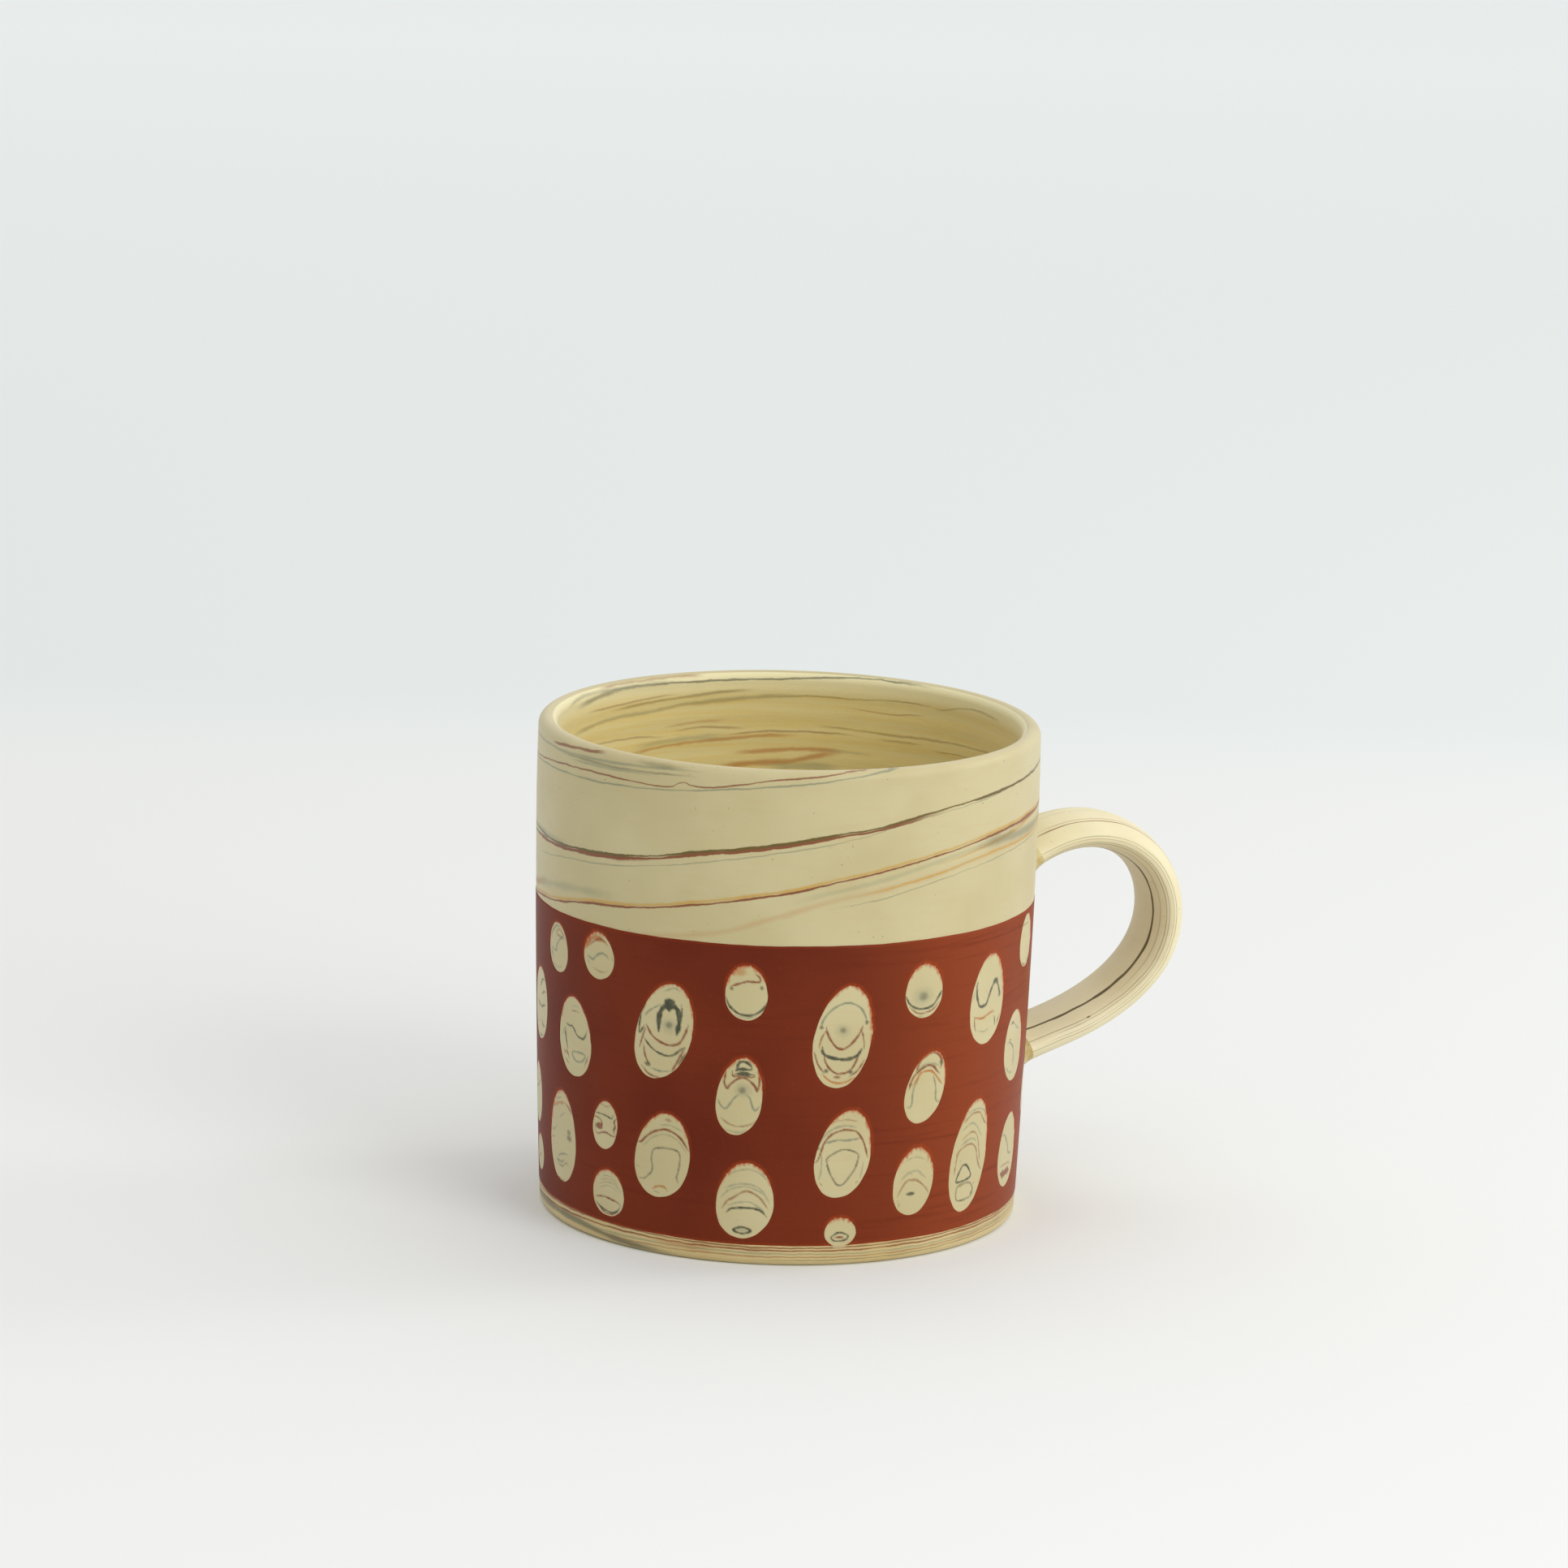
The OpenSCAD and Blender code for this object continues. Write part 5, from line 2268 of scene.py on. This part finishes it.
WALL_VEINS = (
    WallVein(ORANGE, 0.7, ((-150, 52), (50, 59.7), (69, 64), (80, 66.7), (93, 68.6), (106, 70.5),
             (123, 72.5), (140, 73), (174, 74.5)), 0.3, 30, 0.5),
    WallVein(YELLOW, 0.34, ((84, 67.4), (93, 68.6), (106, 70.5), (123, 72.5), (140, 73), (180, 74.8)),
             0.85, 16, 0.05),
    WallVein(YELLOW, 0.4, ((106, 72.3), (119, 73.8), (153, 77.2), (174, 79.2)), 0.8, 10, 0.1),
    WallVein(GREY, 0.2, ((-9, 66.7), (13, 68.7), (26, 69.6), (36, 70.7), (50, 72.7), (72, 75.9),
             (84, 77.6), (101, 80.7), (122, 82.7), (139, 84.2), (174, 86.6)), 0.6),
    WallVein(ORANGE, 1.0, ((-170, 56), (-12, 60.3), (0, 62.1)), 0.75, 10, 0.35),
    WallVein(GREY, 1.1, ((-16, 60.6), (3, 62.4), (17, 63.7), (30, 64)), 0.4, 12, 0.6),
    WallVein(YELLOW, 0.45, ((-160, 54.6), (4, 60.1), (15, 61.6), (23, 62.5), (32, 63.2), (38, 63.9),
             (50, 65.6), (62, 67.4), (72, 68.9), (80, 70.4), (90, 72), (101, 73.6), (111, 74.9),
             (123, 76.1), (140, 77.1), (155, 77.7), (180, 79.2)), 0.85, 12, 0.15),
    WallVein(RUST, 0.36, ((-160, 54), (4, 59.6), (15, 61.1), (23, 62), (32, 62.7), (38, 63.4), (50, 65.1),
             (62, 66.9), (72, 68.4), (80, 69.9), (90, 71.5), (101, 73.1), (111, 74.4), (123, 75.6),
             (140, 76.6), (155, 77.1), (180, 78.6)), 0.95),
    WallVein(RUST, 0.7, ((128, 75.8), (140, 76.5), (155, 77), (174, 78.2)), 0.75, 14, 0.1),
    WallVein(GREY, 0.8, ((69, 66.2), (80, 68.3), (93, 70.4), (106, 72.7), (123, 74.4), (144, 74.3),
             (176, 75.8)), 0.3, 14, 0.3),
    WallVein(GREEN, 1.5, ((116, 73.9), (123, 74.4), (144, 74.3), (158, 74.9)), 0.35, 10, 0.5),
    WallVein(GREY, 0.2, ((79, 65.4), (91, 66.8), (106, 69.2), (123, 71.1), (141, 72.2), (180, 73.8)),
             0.6),
    WallVein(RUST, 0.55, ((-175, 57), (-90, 63), (-13, 69.6), (4, 69.9), (20, 70.7), (31, 71.5),
             (39, 72.4), (50, 74.2), (60, 75.4), (72, 77), (80, 78.2), (92, 79.5), (105, 81.5),
             (112, 82.2)), 0.95, 18),
    WallVein(RUST, 0.55, ((26, 70.9), (31, 71.3), (36, 71.8), (41, 72.5)), 0.5, 4, 0.15),
    WallVein(OLIVE, 0.4, ((-175, 58.6), (-90, 64.6), (-13, 70.6), (4, 70.5), (20, 71.15), (31, 71.95),
             (39, 72.85), (50, 74.65), (60, 75.85), (72, 77.4), (80, 78.6), (92, 79.9), (105, 81.8),
             (116, 82.75), (129, 83.5), (153, 84.7), (180, 86.6)), 1.0),
    WallVein(GREY, 0.9, ((-60, 67.4), (-13, 70.9), (0, 70.8), (14, 71.2)), 0.5, 14, 0.4),
    WallVein(RUST, 0.26, ((-160, 72), (-12, 83.7), (19, 85.6), (32, 85.6), (44, 85.9), (46, 86.9),
             (47, 86.5), (68, 88.4), (80, 89.4), (95, 90.5)), 0.85),
    WallVein(GREY, 0.28, ((-150, 71), (-12, 83.1), (25, 84.2), (43, 85.1), (57, 86.3), (72, 87.6),
             (89, 89.3), (105, 91)), 0.75),
    WallVein(RUST, 0.4, ((2, 88.2), (5, 88.4), (20, 89.2), (24, 89.4)), 0.8, 3),
    WallVein(GREY, 0.35, ((-20, 87.4), (8, 87.5), (28, 88.2), (52, 89)), 0.7, 10, 0.15),
    WallVein(GREEN, 0.3, ((6, 87.1), (16, 87.3), (32, 87.5), (50, 88)), 0.5, 8, 0.1),
    WallVein(GREY, 0.3, ((10, 86.6), (22, 86.9), (40, 87.3)), 0.6, 8, 0.15),
    WallVein(GREEN, 0.6, ((33, 89.2), (40, 89.1), (47, 89.2)), 0.4, 5, 0.3),
    WallVein(GREEN, 0.9, ((-60, 2.5), (-16, 2.4), (6, 2.4), (20, 1.9), (29, 1.2), (48, 0.5)), 0.7, 14,
             0.3),
    WallVein(ORANGE, 1.0, ((38, 2.9), (46, 2.6), (56, 2.3)), 0.6, 7, 0.5),
    WallVein(RUST, 0.3, ((-180, 4.3), (-110, 1.8), (20, 3.1), (60, 2.9), (100, 2.9), (180, 4.3)), 0.85,
             20),
    WallVein(RUST, 0.3, ((-180, 4.6), (-100, 2.7), (20, 3.9), (60, 3.4), (100, 3.5), (180, 4.6)), 0.8,
             20),
    WallVein(GREY, 0.32, ((-180, 3.6), (-105, 1.1), (30, 2.2), (60, 2.3), (100, 2.2), (180, 3.6)), 0.55,
             20),
    WallVein(RUST, 0.28, ((20, 1.5), (60, 1.7), (100, 1.7), (174, 3.0)), 0.5, 20),
    WallVein(GREEN, 0.25, ((60, 1.1), (100, 1.2), (174, 2.4)), 0.45, 20),
    WallVein(ORANGE, 0.25, ((-60, 4.6), (-12, 4.6), (18, 4.4), (34, 3.7)), 0.6, 10),
    WallVein(YELLOW, 0.5, ((-180, 79), (-150, 81), (-120, 84), (-85, 87.4), (-60, 89.3)), 0.6, 30, 0.15),
    WallVein(RUST, 0.4, ((-180, 78.6), (-150, 80.6), (-120, 83.6), (-85, 87), (-60, 89)), 0.8, 40),
    WallVein(ORANGE, 0.4, ((-180, 74.8), (-150, 76.6), (-110, 80), (-70, 84.6)), 0.6, 40, 0.1),
    WallVein(GREY, 0.25, ((-180, 73.8), (-140, 76), (-100, 79.4), (-50, 84)), 0.5, 40),
    WallVein(OLIVE, 0.3, ((-180, 86.6), (-160, 87.8), (-130, 89.6)), 0.7, 12),
)

INNER_STREAKS = (
    WallVein(GREEN, 0.45, ((-36, 88.5), (-45, 89.1), (-52, 89.1), (-64, 88.8), (-72, 88.8)), 0.42, 5,
             0.2),
    WallVein(GREEN, 0.7, ((-41, 87.3), (-50, 88), (-57, 88.5), (-68, 88.8), (-82, 88.6)), 0.55, 9, 0.3),
    WallVein(RUST, 0.5, ((-54, 89.6), (-63, 89.6), (-70, 89.6), (-88, 89.7)), 0.59, 5, 0.2),
    WallVein(GREEN, 0.32, ((-66, 88.8), (-85, 88.5), (-111, 88.8), (-125, 89.4), (-150, 89.6)), 0.68, 14),
    WallVein(RUST, 0.3, ((-48, 85.8), (-60, 85.8), (-68, 86), (-80, 86.4)), 0.51, 6, 0.1),
    WallVein(OLIVE, 0.4, ((-58, 85), (-73, 85.4), (-87, 86), (-102, 86.7)), 0.51, 8, 0.15),
    WallVein(OLIVE, 0.6, ((-38, 82.6), (-51, 83.1), (-60, 83.5), (-73, 83.6), (-81, 84.3), (-92, 84.7),
             (-101, 85.2), (-113, 85.6)), 0.42, 10, 0.25),
    WallVein(RUST, 0.25, ((-50, 79.3), (-62, 79.2), (-68, 79.1), (-77, 78.5)), 0.51, 6, 0.1),
    WallVein(ORANGE, 0.4, ((-76, 80.3), (-88, 80.9), (-94, 81)), 0.42, 5, 0.15),
    WallVein(RUST, 0.3, ((-79, 79.3), (-86, 79.8), (-99, 79.3)), 0.47, 5, 0.1),
    WallVein(GREY, 1.0, ((-66, 77.2), (-81, 77.8), (-95, 77.9)), 0.38, 8, 0.3),
    WallVein(ORANGE, 0.5, ((-64, 76), (-77, 76.8), (-94, 77.4), (-101, 77.8), (-113, 78.1)), 0.59, 8,
             0.15),
    WallVein(RUST, 0.28, ((-92, 78), (-101, 78.6), (-111, 78.8), (-129, 78.7)), 0.55, 8, 0.1),
    WallVein(ORANGE, 0.6, ((-95, 74.7), (-103, 74.9), (-112, 75.4), (-124, 75.5)), 0.68, 6, 0.2),
    WallVein(GREY, 0.5, ((-118, 75.4), (-132, 75.3)), 0.42, 5, 0.2),
    WallVein(ORANGE, 0.8, ((-91, 72), (-100, 72.6), (-112, 73.3), (-116, 74.1), (-124, 75.1)), 0.68, 6,
             0.3),
    WallVein(GREY, 1.2, ((-104, 71.7), (-113, 72.2), (-124, 72.2)), 0.42, 6, 0.4),
    WallVein(OLIVE, 0.3, ((-104, 85.2), (-115, 85.6), (-126, 85.5), (-134, 85.9), (-150, 86.1)), 0.42, 8),
    WallVein(RUST, 0.25, ((-124, 83.7), (-137, 83.4), (-147, 84.2)), 0.42, 6),
    WallVein(OLIVE, 0.35, ((-116, 80), (-126, 79.7), (-134, 79.5), (-150, 79.8), (-160, 80),
             (-175, 80.3)), 0.47, 8, 0.1),
    WallVein(GREEN, 0.3, ((-133, 78.4), (-146, 78.5)), 0.34, 4, 0.1),
    WallVein(RUST, 0.25, ((-149, 77.8), (-163, 78.1)), 0.42, 4),
    WallVein(OLIVE, 0.35, ((-149, 85.6), (-163, 87.3), (-176, 86.9)), 0.42, 5, 0.1),
    WallVein(GREEN, 0.6, ((-30, 84), (0, 82), (60, 78), (120, 74), (170, 70)), 0.34, 20, 0.2),
    WallVein(ORANGE, 0.6, ((-20, 76), (40, 71), (110, 66), (170, 61)), 0.42, 20, 0.2),
    WallVein(RUST, 0.4, ((-170, 58), (-90, 52), (0, 45), (90, 38), (170, 31)), 0.42, 20, 0.1),
    WallVein(GREY, 0.6, ((-170, 42), (-90, 36), (0, 29), (90, 22), (170, 16)), 0.42, 20, 0.2),
)

# A lighter copy of the cream clay for the handle: painted light, for the brighter light that the handle
# catches.
PAINTED_LIGHT_STRAP_CLAY = CreamClay("ece3bd", "e3d8b0", "dbc894", sheen=0.03)

STRAP_LINES = (
    StrapLine(OLIVE, 149, 0.62, 1.0, 0.1, 3.9),
    StrapLine(GREEN, 149, 0.3, 0.4, 0.1, 3.9),
    StrapLine(GREY, 131, 0.3, 0.4, 0.7, 2.6),
    StrapLine(OLIVE, 115, 0.25, 0.55, 0.3, 3.9),
    StrapLine(GREY, 107, 0.3, 0.5, 0.2, 3.2),
    StrapLine(RUST, 93, 0.25, 0.4, 0.4, 3.4),
    StrapLine(OLIVE, 84, 0.25, 0.5, 0.2, 3.9),
    StrapLine(RUST, 40, 0.3, 0.75, 0.3, 1.9),
    StrapLine(RUST, 33, 0.2, 0.5, 0.5, 2.2),
    StrapLine(GREY, 340, 0.35, 0.4, 0.3, 3.7),
    StrapLine(OLIVE, 298, 0.3, 0.5, 0.2, 3.6),
    StrapLine(GREY, 280, 0.35, 0.5, 0.5, 3.8),
    StrapLine(GREY, 258, 0.35, 0.5, 0.2, 3.5),
)


def main() -> None:
    """Builds the mug and its studio."""
    logging.basicConfig(level=logging.INFO, format="%(message)s")
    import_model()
    curve = WallCurve()
    pattern = Pattern(NEAR_WINDOWS)
    clay = CreamClay()
    wrap = wrapped_form(curve)
    MugWall(curve).build(WallFinish(clay, WALL_VEINS, INNER_STREAKS).build())
    SlipBand(curve, pattern).build(SlipFinish().build(), wrap)
    WindowClay(curve, pattern).build(WindowFinish(clay).build(), wrap)
    Strap(curve).build(StrapFinish(PAINTED_LIGHT_STRAP_CLAY, STRAP_LINES).build(), LutingFinish(clay).build())
    Studio().build(PaperFinish().build())


if __name__ == "__main__":
    main()
